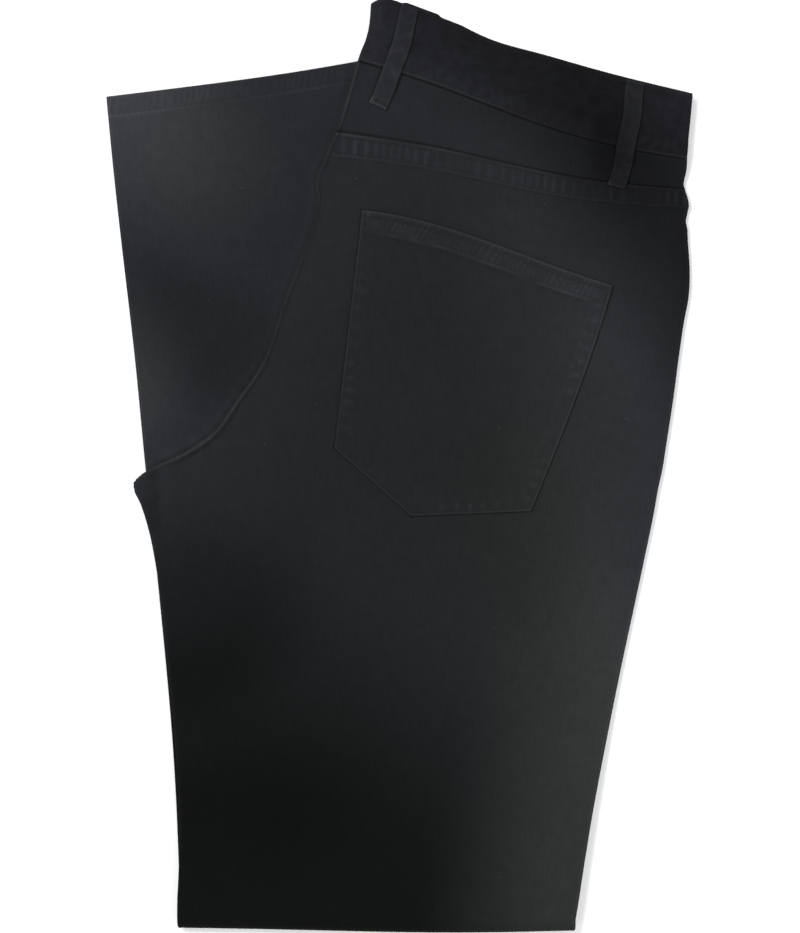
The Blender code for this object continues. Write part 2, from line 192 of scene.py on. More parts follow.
THIGH = Ladder(THIGH_RUNGS)
SHIN = Ladder(SHIN_RUNGS)
STACK = 2 * DENIM + 2 * GAP + FRONTS
FOLD_RADIUS = 0.5 * (GAP + FOLD_PUFF)
FOLD_ARC = math.pi * (FOLD_RADIUS + 0.5 * STACK)
BAND_SEAM = THIGH.at("band seam")
YOKE_SEAM = THIGH.at("yoke seam")
FOLD_START = THIGH.length
FOLD_END = FOLD_START + FOLD_ARC
HEM_EDGE = FOLD_END + SHIN.length


def hem_share(s):
    """0 on the leg and 1 on the turned-up hem."""
    return ease((s - (HEM_EDGE - HEM_HEIGHT - EDGE_ROUND)) / EDGE_ROUND)


def hem_bulk(s):
    """The same for the layers below the showing hem, whose bulk raises it gently."""
    return ease((s - (HEM_EDGE - HEM_HEIGHT - HEM_SWELL)) / (HEM_HEIGHT + HEM_SWELL))


def under_layer(s):
    """Thickness of the left back half, which lies inside the knee fold."""
    band = 1 - ease((s - BAND_SEAM) / SEAM_ALLOWANCE)
    hem = mix(hem_bulk(s), hem_share(s), HEM_STEP)
    return DENIM + band * (BAND_LAYER - DENIM) + hem * (HEM_LAYER - DENIM)


def front_layers(s):
    band = 1 - ease((s - BAND_SEAM) / (2 * SEAM_ALLOWANCE))
    return FRONTS + band * (BAND_FRONTS - FRONTS) + hem_bulk(s) * (HEM_FRONTS - FRONTS)


def yoke_layer(s):
    return SEAM_LAYER - (SEAM_LAYER - DENIM) * ease((s - BAND_SEAM) / SEAM_ALLOWANCE)


def top_layer(s):
    """Thickness of the right back half: waistband, yoke and leg panel in turn."""
    fell = 1 - ease((s - YOKE_SEAM - FELL_HEIGHT) / EDGE_ROUND)
    leg = DENIM + fell * (FELL_LAYER - DENIM) + hem_bulk(s) * (HEM_LAYER - DENIM)
    return np.where(s < BAND_SEAM, BAND_LAYER, np.where(s < YOKE_SEAM, yoke_layer(s), leg))


def fronts_low(s):
    return under_layer(s) + GAP


def fronts_high(s):
    return fronts_low(s) + front_layers(s)


def top_low(s):
    return fronts_high(s) + GAP


def top_high(s):
    return top_low(s) + top_layer(s)


def seam_level(s):
    """Height through the layers of the seat seam, midway between the two backs."""
    return 0.5 * (fronts_low(s) + fronts_high(s))


def seat_share(s):
    """1 where the seat seam joins the two backs round the left edge, 0 below the crotch."""
    start, end = THIGH.at("crotch rise"), THIGH.at("crotch tip")
    return 1 - ease((s - start) / (end - start))


def width_at(s):
    return np.where(s <= FOLD_END, THIGH.width(s), SHIN.width(s - FOLD_END))


def square_to_left(s, a):
    """Distance from the left edge, square to it, where it leans across the rungs at the seat."""
    before, after = np.clip(s - 3.0, 0.0, FOLD_START), np.clip(s + 3.0, 3.0, FOLD_START)
    down_x = THIGH.read(after, "left_x") - THIGH.read(before, "left_x")
    down_y = THIGH.read(after, "left_y") - THIGH.read(before, "left_y")
    across_x = THIGH.read(s, "right_x") - THIGH.read(s, "left_x")
    across_y = THIGH.read(s, "right_y") - THIGH.read(s, "left_y")
    lean = np.abs(down_x * across_y - down_y * across_x) / (np.hypot(down_x, down_y) * THIGH.width(s) + 1e-9)
    return a * np.where(s < FOLD_START - 3.0, np.clip(lean, 0.3, 1.0), 1.0)


LOWER_LEG_MIDDLE = (-100.0, 0.0)


def beside(x, y, start, end):
    """Distance outside the line from start to end, negative on the lower legs' side."""
    across, up = end[0] - start[0], end[1] - start[1]
    length = math.hypot(across, up)
    normal_x, normal_y = -up / length, across / length
    inward = normal_x * (LOWER_LEG_MIDDLE[0] - start[0]) + normal_y * (LOWER_LEG_MIDDLE[1] - start[1])
    turn = -1.0 if inward > 0 else 1.0
    return turn * (normal_x * (x - start[0]) + normal_y * (y - start[1]))


def bed(x, y):
    """Height of what the upper layers lie on: the lower legs, or the table beyond them."""
    calf, hem = SHIN_RUNGS[4], SHIN_RUNGS[-1]
    left_end, right_end = slice(1, 3), slice(3, 5)
    past_right = beside(x, y, FOLD_RUNG[right_end], hem[right_end])
    past_left = beside(x, y, calf[left_end], hem[left_end])
    past_hem = beside(x, y, hem[left_end], hem[right_end])
    past_left = np.where(y > calf.left_y, past_left, 0.0)
    off = np.hypot(np.maximum(np.maximum(past_right, past_left), 0.0), np.maximum(past_hem, 0.0))
    thick = 1 - ease((-past_hem - HEM_BED_MARGIN) / HEM_BED_FALL)
    hem_rise = 2 * HEM_LAYER + HEM_FRONTS - 2 * DENIM - FRONTS
    return (STACK + GAP + thick * hem_rise) * (1 - ease((off - BED_MARGIN) / BED_FALL))


# Creases of the folded cloth: a soft ridge, or a trough where its height is negative, from one point of
# the plan to another. Those of the upper legs come first, then those of the lower legs.
Crease = namedtuple("Crease", "name x y to_x to_y width height")
UPPER_CREASES = (
    Crease("crotch hollow", -153.5, -6.0, -153.0, -30.0, 3.6, -1.0),
    Crease("crotch ridge", -146.5, -2.0, -145.0, -34.0, 3.0, 0.9),
    Crease("crotch fold", -136.0, -16.0, -119.0, -66.0, 11.0, 0.7),
    Crease("seat pull", -60.0, 120.0, -28.0, 96.0, 9.0, 0.5),
    Crease("hip pull", 168.0, 128.0, 118.0, 60.0, 13.0, 0.6),
    Crease("under the seat", -96.0, 14.0, 40.0, -52.0, 17.0, -0.7),
    Crease("thigh drape", 8.0, -60.0, 92.0, -150.0, 20.0, 0.8),
    Crease("thigh trough", -60.0, -90.0, 20.0, -210.0, 19.0, -0.7),
    Crease("knee wrinkle left", -132.0, -236.0, -86.0, -246.0, 8.0, 0.6),
    Crease("knee wrinkle right", 108.0, -232.0, 66.0, -252.0, 9.0, 0.7),
    Crease("knee trough", -40.0, -240.0, 30.0, -256.0, 9.0, -0.5),
)
LOWER_CREASES = (
    Crease("ankle drape", -168.0, 170.0, -104.0, 96.0, 15.0, 0.7),
    Crease("calf trough", -150.0, 120.0, -84.0, 176.0, 16.0, -0.6),
    Crease("calf ridge", -152.0, 48.0, -100.0, 88.0, 12.0, 0.6),
    Crease("hem wave", -120.0, 226.0, -112.0, 186.0, 11.0, 0.5),
)
BILLOW = 0.9


def creased(x, y, creases):
    """Height, in millimetres, of the cloth's slow unevenness and of its creases."""
    waves = np.sin(x / 26.0 + y / 47.0 + 1.3) + np.sin(x / 41.0 - y / 22.0 + 0.4) + np.sin(y / 31.0 + 2.1)
    height = BILLOW * (0.5 + waves / 6)
    for crease in creases:
        run_x, run_y = crease.to_x - crease.x, crease.to_y - crease.y
        length = math.hypot(run_x, run_y)
        t = ((x - crease.x) * run_x + (y - crease.y) * run_y) / length**2
        off = ((y - crease.y) * run_x - (x - crease.x) * run_y) / length
        ends = ease((t + 0.25) / 0.5) * ease((1.25 - t) / 0.5)
        height = height + crease.height * ends * near(off, 0.0, crease.width)
    return height


SETTLE = 45.0

# Where the thick end of a cross seam pushes out a long edge, or a seam beside it draws the edge in: how far
# along the garment from the waist, how much of its length, and how far outwards at the left and the right.
EdgeBump = namedtuple("EdgeBump", "name at reach left right")
EDGE_BUMPS = (
    EdgeBump("band end", 38.0, 7.0, 0.3, 0.4),
    EdgeBump("yoke", BAND_SEAM + 11.0, 9.0, 0.0, 1.0),
    EdgeBump("fell end", YOKE_SEAM + 8.0, 6.5, 0.4, 1.5),
    EdgeBump("below the fell, right", YOKE_SEAM + 19.5, 4.0, 0.0, -1.5),
    EdgeBump("below the fell, left", YOKE_SEAM + 29.5, 9.0, 2.6, 0.0),
    EdgeBump("above the seat", YOKE_SEAM + 48.0, 15.0, -2.6, 0.0),
    EdgeBump("hip", YOKE_SEAM + 62.0, 28.0, 0.0, 1.1),
)
BUMP_ACROSS = 22.0


def bumped(s, a):
    """Distance across the plan once the bumps of the long edges are counted in."""
    wide = width_at(s)
    from_left = np.clip(1 - np.maximum(a, 0.0) / BUMP_ACROSS, 0.0, 1.0) ** 2
    from_right = np.clip(1 - np.maximum(wide - a, 0.0) / BUMP_ACROSS, 0.0, 1.0) ** 2
    for bump in EDGE_BUMPS:
        here = np.exp(-(((s - bump.at) / bump.reach) ** 4))
        a = a + here * (bump.right * from_right - bump.left * from_left)
    return a


def place(s, a, n):
    """World points in millimetres, s along the garment, a across it and n up through the layers."""
    s, a, n = (np.asarray(value, float) for value in np.broadcast_arrays(s, a, n))
    corner = np.clip(1 - np.maximum(a, 0.0) / CORNER_REACH, 0.0, 1.0) ** 2
    drop = CORNER_DROP * corner + WAIST_DIP * near(a, WAIST_DIP_ACROSS, WAIST_DIP_REACH)
    drop = drop - WAIST_LIFT * near(a, WAIST_LIFT_ACROSS, WAIST_LIFT_REACH)
    along = s + drop * np.clip(1 - s / BAND_SEAM, 0.0, 1.0)
    x, y = THIGH.point(np.minimum(along, FOLD_START), bumped(s, a))
    puff = FOLD_PUFF * near(s, FOLD_START, FOLD_PUFF_REACH)
    settled = ease((FOLD_START - s) / SETTLE)
    under = bed(x, y)
    rise = under / (STACK + GAP) * creased(x, y, LOWER_CREASES) * settled
    billow = n / STACK * creased(x, y, UPPER_CREASES) * settled
    upper = np.stack([x, y, under + rise + puff + n + billow], axis=-1)
    turn = np.pi * np.clip((s - FOLD_START) / FOLD_ARC, 0.0, 1.0)
    reach = FOLD_RADIUS + n
    folded = np.stack([x, y - reach * np.sin(turn), STACK + FOLD_RADIUS + reach * np.cos(turn)], axis=-1)
    shin_x, shin_y = SHIN.point(np.maximum(s - FOLD_END, 0.0), a)
    high = top_high(s)
    sag = (1 - n / high) * creased(shin_x, shin_y, LOWER_CREASES) * ease((s - FOLD_END) / SETTLE)
    lower = np.stack([shin_x, shin_y, high - n + sag], axis=-1)
    past_start, past_end = (s >= FOLD_START)[..., None], (s > FOLD_END)[..., None]
    placed = np.where(past_end, lower, np.where(past_start, folded, upper))
    placed[..., 2] = np.maximum(placed[..., 2], 0.0)
    return placed


EDGE_OFFSETS = (0.0, 0.35, 0.8, 1.3, 1.8, 2.4, 3.1, 3.9, 5.0)


def spaced(start, end, pitch):
    """Even distances from start to end, both included, about pitch apart."""
    return np.linspace(start, end, max(2, int(round((end - start) / pitch)) + 1))


def grid_of(s, pitch):
    """Rows and columns of points: columns are close together at both edges, and pitch apart between."""
    wide = width_at(s)[:, None]
    edge = np.array(EDGE_OFFSETS)
    shares = spaced(0.0, 1.0, pitch / float(wide.max()))[1:-1]
    middle = edge[-1] + shares * (wide - 2 * edge[-1])
    left = np.broadcast_to(edge, (len(s), len(edge)))
    a = np.concatenate([left, middle, wide - edge[::-1]], axis=1)
    return np.broadcast_to(s[:, None], a.shape), a


def crowded(length, edge, pitch):
    """Distances from 0 to length: at given offsets from both ends, pitch apart between."""
    edge = np.array(edge)
    return np.concatenate([edge, spaced(edge[-1], length - edge[-1], pitch)[1:-1], length - edge[::-1]])


def turned(distance, radius):
    """How far a rounded edge has dropped, from 1 at the edge to 0 at the radius."""
    t = np.clip(distance / radius, 0.0, 1.0)
    return 1 - np.sqrt(1 - (1 - t) ** 2)


def puckers(distance, seed):
    """Narrow, uneven crests that a shrunken seam draws up along its length, from 0 to 1."""
    phase = distance / 0.95 + 2.4 * np.sin(distance / 15.0 + seed) + 1.3 * np.sin(distance / 6.7 + 2 * seed)
    strength = 0.55 + 0.45 * np.sin(distance / 8.9 + 3 * seed) * np.sin(distance / 21.0 + seed)
    return strength * (0.5 + 0.5 * np.sin(phase)) ** 3


GRAIN_LEAN = 0.157


def weave_on(points, s):
    """Distance across and along the weave, which follows the plan and turns under at the knee."""
    x, y = points[..., 0], points[..., 1]
    up = np.where(s > FOLD_END, y - FOLD_RUNG.left_y, 0.0)
    over = np.clip(s - FOLD_START, 0.0, FOLD_ARC) + up
    return np.stack([x + GRAIN_LEAN * up, np.where(s < FOLD_START, FOLD_RUNG.left_y - y, over)], axis=-1)


RIM_BEVEL = 0.35
RIM_ANGLE = 55
SMOOTH_ANGLE = 50
TURN_RADIUS = 1.5


def hang(piece):
    """Every piece rides on the garment's one body."""
    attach(piece, "root")


def cut_sheet(name, points, grain, thick, wear_and_painted_shading, finish, faces_up, bevel=RIM_BEVEL):
    """A piece of cloth: a flat grid, laid on its place in the garment and given its thickness inwards.

    Points are in millimetres, grain holds each point's distance across and along the weave, thick its
    thickness, and wear_and_painted_shading how far abrasion and painted highlights lighten it or, below 0,
    how far painted shade darkens it in ditches, grooves and along rims. All have a row for each line of
    points across the cloth.
    """
    if faces_up:
        points, grain, thick, wear_and_painted_shading = points[::-1], grain[::-1], thick[::-1], wear_and_painted_shading[::-1]
    rows, columns = points.shape[:2]
    bpy.ops.object.select_all(action="DESELECT")
    bpy.ops.mesh.primitive_grid_add(x_subdivisions=columns - 1, y_subdivisions=rows - 1, size=1)
    sheet = bpy.context.object
    sheet.name = name
    mesh = sheet.data
    mesh.name = name
    mesh.vertices.foreach_set("co", (points * MM).astype(np.float32).ravel())
    corners = np.zeros(len(mesh.loops), np.int32)
    mesh.loops.foreach_get("vertex_index", corners)
    weave = (grain * MM).reshape(-1, 2)[corners]
    mesh.uv_layers[0].name = "weave"
    mesh.uv_layers[0].uv.foreach_set("vector", weave.astype(np.float32).ravel())
    rubbed = mesh.attributes.new("wear_and_painted_shading", "FLOAT", "POINT")
    rubbed.data.foreach_set("value", np.clip(wear_and_painted_shading, -1.0, 1.0).astype(np.float32).ravel())
    thickest = float(thick.max())
    walls = sheet.vertex_groups.new(name="wall")
    levels = np.round(thick / thickest, 2).ravel()
    for level in np.unique(levels):
        walls.add(np.flatnonzero(levels == level).tolist(), float(level), "REPLACE")
    wall = sheet.modifiers.new("wall", "SOLIDIFY")
    wall.thickness = thickest * MM
    wall.offset = -1.0
    wall.vertex_group = "wall"
    rim = sheet.modifiers.new("rim", "BEVEL")
    rim.limit_method = "ANGLE"
    rim.angle_limit = math.radians(RIM_ANGLE)
    rim.width = bevel * MM
    rim.segments = 2
    mesh.materials.append(finish)
    for modifier in (wall, rim):
        bpy.ops.object.modifier_apply(modifier=modifier.name)
    sheet.vertex_groups.clear()
    bpy.ops.object.shade_smooth_by_angle(angle=math.radians(SMOOTH_ANGLE))
    return sheet


class Wire:
    """A node's output. Arithmetic on wires adds Math nodes."""

    def __init__(self, finish, socket):
        self.finish = finish
        self.socket = socket

    def __add__(self, other):
        return self.finish.maths("ADD", self, other)

    def __sub__(self, other):
        return self.finish.maths("SUBTRACT", self, other)

    def __mul__(self, other):
        return self.finish.maths("MULTIPLY", self, other)

    __radd__ = __add__


class Finish:
    """A material while its nodes are being wired."""

    def __init__(self, name):
        self.material = bpy.data.materials.new(name)
        self.material.use_nodes = True
        self.tree = self.material.node_tree
        self.shader = self.tree.nodes["Principled BSDF"]

    def node(self, kind, settings=None, sockets=None, output=0):
        """Adds a node: its settings first, then values or wires for its sockets."""
        made = self.tree.nodes.new(kind)
        for name, value in (settings or {}).items():
            setattr(made, name, value)
        for name, value in (sockets or {}).items():
            self.feed(made.inputs[name], value)
        return Wire(self, made.outputs[output])

    def feed(self, socket, value):
        if isinstance(value, Wire):
            self.tree.links.new(value.socket, socket)
        else:
            socket.default_value = value

    def give(self, name, value):
        """A value or a wire for a socket of the shader."""
        self.feed(self.shader.inputs[name], value)

    def maths(self, operation, *operands):
        return self.node("ShaderNodeMath", {"operation": operation}, dict(enumerate(operands)))

    def noise(self, vector, scale, detail):
        return self.node("ShaderNodeTexNoise", {}, {"Vector": vector, "Scale": scale, "Detail": detail})

    def stretched_noise(self, vector, across, along, detail):
        """Noise with its own scale across and along the weave."""
        grain = self.node("ShaderNodeMapping", {}, {0: vector, "Scale": (across, along, 1.0)})
        return self.noise(grain, 1.0, detail)

    def blend(self, mode, factor, first, second):
        """Two colours through a Mix node."""
        settings = {"data_type": "RGBA", "blend_type": mode}
        return self.node("ShaderNodeMix", settings, {0: factor, 6: first, 7: second}, output=2)

    def painted_shade_and_tone(self, shade_and_tone_patches, solid, overall_shade):
        """Painted shade and light from some soft ovals, and how warm a tone they leave the dye."""
        shade, warmth = overall_shade, 0.0
        for patch in shade_and_tone_patches:
            sockets = {
                0: solid,
                "Location": (patch.x * MM, patch.y * MM, 0.0),
                "Rotation": (0.0, 0.0, math.radians(patch.turn)),
                "Scale": (patch.reach_x * MM, patch.reach_y * MM, PATCH_UPRIGHT_REACH),
            }
            oval = self.node("ShaderNodeMapping", {"vector_type": "TEXTURE"}, sockets)
            spot = self.node("ShaderNodeTexGradient", {"gradient_type": "SPHERICAL"}, {0: oval}, output=1)
            edges = {0: spot, "From Max": PATCH_PLATEAU}
            soft = self.node("ShaderNodeMapRange", {"interpolation_type": "SMOOTHSTEP"}, edges)
            if patch.change:
                shade = shade + soft * (overall_shade * patch.change)
            if patch.warmth:
                warmth = warmth + soft * patch.warmth
        return self.maths("MAXIMUM", shade, DARKEST_SHADE * overall_shade), warmth


# Painted shade and painted light, as soft ovals on the plan of the garment that draw the cloth darker or
# lighter, some also giving the dye a warmer tone, in millimetres: centre, reach across and along before its
# turn, turn in degrees, change in brightness, and how far the blue-black turns there to a warmer, washed-out
# black.
Fade = namedtuple("Fade", "name x y reach_x reach_y turn change warmth", defaults=(0.0,))
UPPER_SHADE_AND_TONE = (
    Fade("outer leg", 179.0, -115.0, 95.0, 497.0, 19.9, 0.33, 0.15),
    Fade("outer knee", 125.0, -290.0, 119.0, 295.0, -4.6, 0.91, 0.2),
    Fade("inner knee", -106.0, -271.0, 402.0, 221.0, -4.6, -0.73, 0.8),
    Fade("thigh middle", -1.5, 1.0, 134.0, 331.0, -23.9, -0.18),
    Fade("inner thigh", -132.0, -90.0, 112.0, 88.0, 12.9, -0.36, 0.2),
    Fade("side loop", 126.0, 201.0, 92.0, 58.0, -13.8, -0.31),
    Fade("waist", 86.0, 293.0, 134.0, 109.0, -19.1, -0.52, 0.1),
    Fade("hip", 192.0, 101.0, 170.0, 78.0, -52.1, -0.50),
    Fade("seat", 141.0, 95.0, 62.0, 60.0, -18.4, 0.20),
    Fade("below the pocket", 66.0, -22.0, 62.0, 90.0, 0.0, 0.0, 0.5),
    Fade("outer thigh", 96.0, -145.0, 56.0, 190.0, 4.0, 0.0, 1.0),
    Fade("seat and thigh", -20.0, 20.0, 190.0, 230.0, 0.0, 0.0, 0.3),
    # Painted light on the crotch tip and its ridge, and painted shade in the hollow between them.
    Fade("crotch tip", -160.0, -10.0, 12.0, 16.0, 0.0, 0.14),
    Fade("tip hollow", -151.5, -20.0, 9.0, 32.0, 4.0, -0.16),
    Fade("tip ridge", -144.5, -14.0, 6.0, 30.0, 2.0, 0.12),
    # Painted shade beside the side loop.
    Fade("beside the side loop", 127.0, 196.0, 17.0, 32.0, -10.0, -0.14),
    Fade("band end", -18.0, 276.0, 12.0, 24.0, 0.0, 0.28),
)
LOWER_SHADE_AND_TONE = (
    Fade("ankle", -215.0, 258.0, 102.0, 175.0, 50.7, 1.09),
    Fade("calf", -192.0, 54.0, 78.0, 83.0, 3.4, 0.66, 0.4),
    Fade("shin", -129.0, 83.0, 80.0, 55.0, -29.1, -0.30),
    Fade("ankle middle", -56.0, 134.0, 57.0, 128.0, -23.5, -0.12),
    Fade("ankle inside", -120.0, 190.0, 60.0, 60.0, 0.0, 0.0, 0.5),
    # Painted shade on the lower leg under the knee fold.
    Fade("beside the knee", -140.0, -200.0, 90.0, 150.0, 0.0, -0.6, 0.3),
)
DENIM_BLACK = (0.0118, 0.0123, 0.0143, 1.0)
DENIM_WARM = (0.0121, 0.0131, 0.0126, 1.0)
DENIM_WORN_AND_LIT = (0.036, 0.037, 0.042, 1.0)
DARKEST_SHADE = 0.16
PATCH_PLATEAU = 0.75
PATCH_UPRIGHT_REACH = 10.0
THREAD_PITCH = 0.00052
WALE_PITCH = 0.0011
WALE_RISE = 0.55


def denim(name, dye, overall_shade, shade_and_tone_patches, blotchy=0.22):
    """Black stretch twill: fine slanting wales, slubby warp threads, dye abraded lighter on the ridges with
    painted highlights there, painted shade in ditches and along rims, and painted shade and light from soft
    ovals.
    """
    finish = Finish(name)
    weave = finish.node("ShaderNodeUVMap", {"uv_map": "weave"})
    solid = finish.node("ShaderNodeTexCoord", output=3)
    across = finish.node("ShaderNodeSeparateXYZ", {}, {0: weave})
    along = Wire(finish, across.socket.node.outputs[1])
    wales = finish.maths("SINE", (across + along * WALE_RISE) * (2 * math.pi / WALE_PITCH))
    threads = finish.maths("SINE", along * (2 * math.pi / THREAD_PITCH))
    slub = finish.stretched_noise(weave, 950.0, 90.0, 3.0)
    cross = finish.stretched_noise(weave, 60.0, 1100.0, 2.0)
    speck = finish.noise(weave, 1500.0, 2.0)
    cloud = finish.noise(solid, 22.0, 2.0)
    mottle = finish.noise(solid, 150.0, 2.0)
    bright = 1.0 + (slub - 0.5) * 0.4 + (cross - 0.5) * 0.2 + (speck - 0.5) * 0.2
    bright = bright + (cloud - 0.5) * 0.18 + (mottle - 0.5) * blotchy + wales * 0.04
    # Painted shade and painted light from the soft ovals, and the warmer tone of the dye.
    shade, warmth = finish.painted_shade_and_tone(shade_and_tone_patches, solid, overall_shade)
    wear_and_painted_shading = finish.node("ShaderNodeAttribute", {"attribute_name": "wear_and_painted_shading"}, output=2)
    # The positive part lightens by abrasion and painted highlights; the negative part is painted shade along
    # ditches, grooves and rims.
    rubbed = finish.maths("MAXIMUM", wear_and_painted_shading, 0.0) * (0.5 + slub * 0.9)
    painted_shade_lines = finish.maths("MINIMUM", wear_and_painted_shading, 0.0)
    lint_range = {0: finish.noise(weave, 320.0, 0.0), "From Min": 0.885, "From Max": 0.9}
    lint = finish.node("ShaderNodeMapRange", {}, lint_range)
    toned = finish.blend("MIX", warmth, dye, DENIM_WARM)
    dyed = finish.blend("MULTIPLY", 1.0, toned, bright + painted_shade_lines * 0.7)
    worn_and_lit = finish.blend("MIX", rubbed + lint * 0.45, dyed, DENIM_WORN_AND_LIT)
    finish.give("Base Color", finish.blend("MULTIPLY", 1.0, worn_and_lit, shade))
    finish.give("Roughness", 0.88 + (speck - 0.5) * 0.2)
    height = wales * 0.00003 + threads * 0.000012 + slub * 0.00008 + speck * 0.00003
    relief = {"Strength": 1.0, "Distance": 1.0, "Height": height}
    finish.give("Normal", finish.node("ShaderNodeBump", {}, relief))
    finish.give("Specular IOR Level", 0.03)
    finish.give("Sheen Weight", 0.012)
    finish.give("Sheen Roughness", 0.5)
    return finish.material


upper_denim = denim("upper_denim", DENIM_BLACK, 1.0, UPPER_SHADE_AND_TONE)


def sheet_facts(start, end):
    """Flat width, length and area, in metres, of the cloth between two distances along the garment."""
    s = spaced(start, end, 2.0)
    wide = width_at(s)
    return (float(wide.max()) * MM, (end - start) * MM), float(wide.mean() * (end - start)) * MM**2


SEAT_BEAD = 0.5
SEAT_DITCH = 0.35
SEAM_BEAD = 0.25
WALL_PAINTED_LIGHT = 0.25
SEAT_DIM = mix(THIGH.at("pocket mouth"), THIGH.at("seat upper"), 0.57)
SEAT_SWELL = THIGH.at("seat middle")
SEAT_SWELL_REACH = THIGH.at("crotch rise") - SEAT_SWELL
FELL_PUCKER = 0.2
STITCH_GROOVE = 0.2
FELL_ROWS = (2.4, 11.2)
HEM_STITCH = 11.2
HEM_PUCKER = 0.2
TURN_DEPTH = 0.9 * DENIM
WALL_SHARE = 0.95


def grooves(distance, rows):
    """Depth of the grooves that rows of stitches press, at their distances from a seam or an edge."""
    return STITCH_GROOVE * sum(near(distance, row, 0.5) for row in rows)


def seam_edges(s, a):
    """Raised beads and ditches along the rolled seams at the two long edges, with abrasion and painted
    highlights on the beads and edges, painted light on the seat seam's outer wall and painted shade in its
    ditch.
    """
    seat, off_left, off_right = seat_share(s), square_to_left(s, a), width_at(s) - a
    low = seat * ease((s - SEAT_SWELL) / SEAT_SWELL_REACH)
    middle = 0.8 + 0.5 * low
    bead = near(off_left, middle, 0.75 + 0.25 * low)
    ditch = near(off_left, middle + 1.8 + 0.6 * low, 0.7)
    height = seat * (SEAT_BEAD * bead - SEAT_DITCH * ditch) + SEAM_BEAD * near(off_right, 1.2, 0.7)
    height = height + (1 - seat) * SEAM_BEAD * (near(off_left, 1.4, 0.75) - 0.5 * near(off_left, 3.0, 0.8))
    seam = 1 - 0.7 * near(s, SEAT_DIM, 13.0)
    # Abrasion and painted highlights on the beads and edges, and painted light on the seat seam's steep outer
    # wall, where it would be shaded.
    rubbing_and_painted_shading = (
        seat * seam * ((0.2 + 0.42 * low) * bead + WALL_PAINTED_LIGHT * near(off_left, 0.0, 0.8))
        + 0.3 * near(s, 0.5 * (BAND_SEAM + YOKE_SEAM), 17.0) * near(off_left, 0.5, 1.2)
        + (1 - seat) * 0.16 * near(off_left, 1.1, 0.85)
        + 0.2 * near(off_right, 1.0, 0.8)
    )
    uneven = 0.75 + 0.25 * np.sin(s / 5.3) * np.sin(s / 13.7)
    # Painted shade darkens the ditch inside the seat seam's bead.
    return height, rubbing_and_painted_shading * uneven - seat * seam * (0.25 + 0.35 * low) * ditch


def hem_edge(s, a):
    """Puckers and stitch groove of a hem that is turned up twice, with abrasion and painted highlights on its
    crests, its folded edge and its upper ridge.
    """
    up = HEM_EDGE - s
    held = ease((up - 0.8) / 2.0) * ease((HEM_STITCH - up) / 2.0)
    crest = puckers(1.4 * a + 0.4 * up, 0.6)
    height = held * (0.15 + HEM_PUCKER * crest) - grooves(up, [HEM_STITCH])
    ridge = near(up, HEM_HEIGHT - 0.1, 1.2) * (0.6 + 0.4 * np.sin(a / 17.0 + 0.6))
    return height, 0.16 * held * crest + 0.1 * near(up, 0.6, 0.8) + 0.2 * ridge


def edge_turn(s, a, seat_depth):
    """How far in from the outer face the cloth turns at its two long edges."""
    wide, seat = width_at(s), seat_share(s)
    left = turned(square_to_left(s, a), TURN_RADIUS) * mix(TURN_DEPTH, seat_depth, seat)
    return left + TURN_DEPTH * turned(wide - a, TURN_RADIUS)


def leg_rows(start, pitch, hem_pitch):
    """Distances along a leg: close together round the knee fold and on the hem."""
    stops = (start, FOLD_START - 24.0, FOLD_START, FOLD_END, FOLD_END + 24.0, HEM_EDGE - HEM_HEIGHT - 2.0)
    pitches = (pitch, 4.0, 0.9, 4.0, pitch, hem_pitch)
    stretches = zip(stops, stops[1:] + (HEM_EDGE - 2.0,), pitches)
    rows = [spaced(here, there, step)[:-1] for here, there, step in stretches]
    return np.concatenate(rows + [HEM_EDGE - np.array((2.0, 1.3, 0.8, 0.4, 0.0))])


fell_rows = YOKE_SEAM + np.concatenate([(-0.2, 0.1, 0.4, 0.8, 1.3), spaced(1.9, FELL_HEIGHT + 2.0, 0.62)])
s = np.concatenate([fell_rows, leg_rows(YOKE_SEAM + FELL_HEIGHT + 6.0, 6.5, 1.6)])
s, a = grid_of(s, 1.62)
down = s - YOKE_SEAM
on_fell = ease((down - 1.2) / 1.6) * ease((FELL_HEIGHT - 0.8 - down) / 1.6)
crest = puckers(THIGH.point(s, a)[0] + 0.1 * down, 0.2)
bead, rubbing_and_painted_shading = seam_edges(s, a)
hem_height, hem_wear_and_highlights = hem_edge(s, a)
relief = bead + hem_height + FELL_PUCKER * on_fell * crest - 0.95 * FELL_LAYER * turned(down + 0.2, 1.0)
relief = relief - grooves(down, FELL_ROWS)
# Abrasion and painted highlights on the fell's pucker crests, its top edge and its lower ridge; painted shade
# along its two stitch grooves.
ends = near(a, 6.0, 26.0) + ease((a - 168.0) / 16.0)
top_edge_wear_and_highlight = 0.2 + 0.12 * np.sin(a / 9.0 + 0.4) - 0.14 * near(a, 148.0, 10.0) + 0.14 * ends
ragged = 0.4 + 0.6 * puckers(1.7 * a, 1.9) + 0.5 * near(a, 12.0, 16.0)
rubbing_and_painted_shading = (
    rubbing_and_painted_shading
    + hem_wear_and_highlights
    + (0.26 + 0.12 * ends) * on_fell * crest
    + top_edge_wear_and_highlight * near(down, 0.6, 0.7)
    + 0.2 * near(down, FELL_HEIGHT - 0.6 + 0.3 * np.sin(a / 3.1), 0.9) * ragged
    - 0.12 * near(down, FELL_ROWS[0], 0.5)
    - 0.1 * near(down, FELL_ROWS[1] - 0.6, 0.5)
)
turn = edge_turn(s, a, top_high(s) - seam_level(s)) + TURN_DEPTH * turned(HEM_EDGE - s, EDGE_ROUND)
points = place(s, a, top_high(s) - turn + relief)
grain, thick = weave_on(points, s), WALL_SHARE * top_layer(s)
right_back_panel = cut_sheet("right_back_panel_cloth", points, grain, thick, rubbing_and_painted_shading, upper_denim, True)
hang(right_back_panel)
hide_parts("right_back_panel")


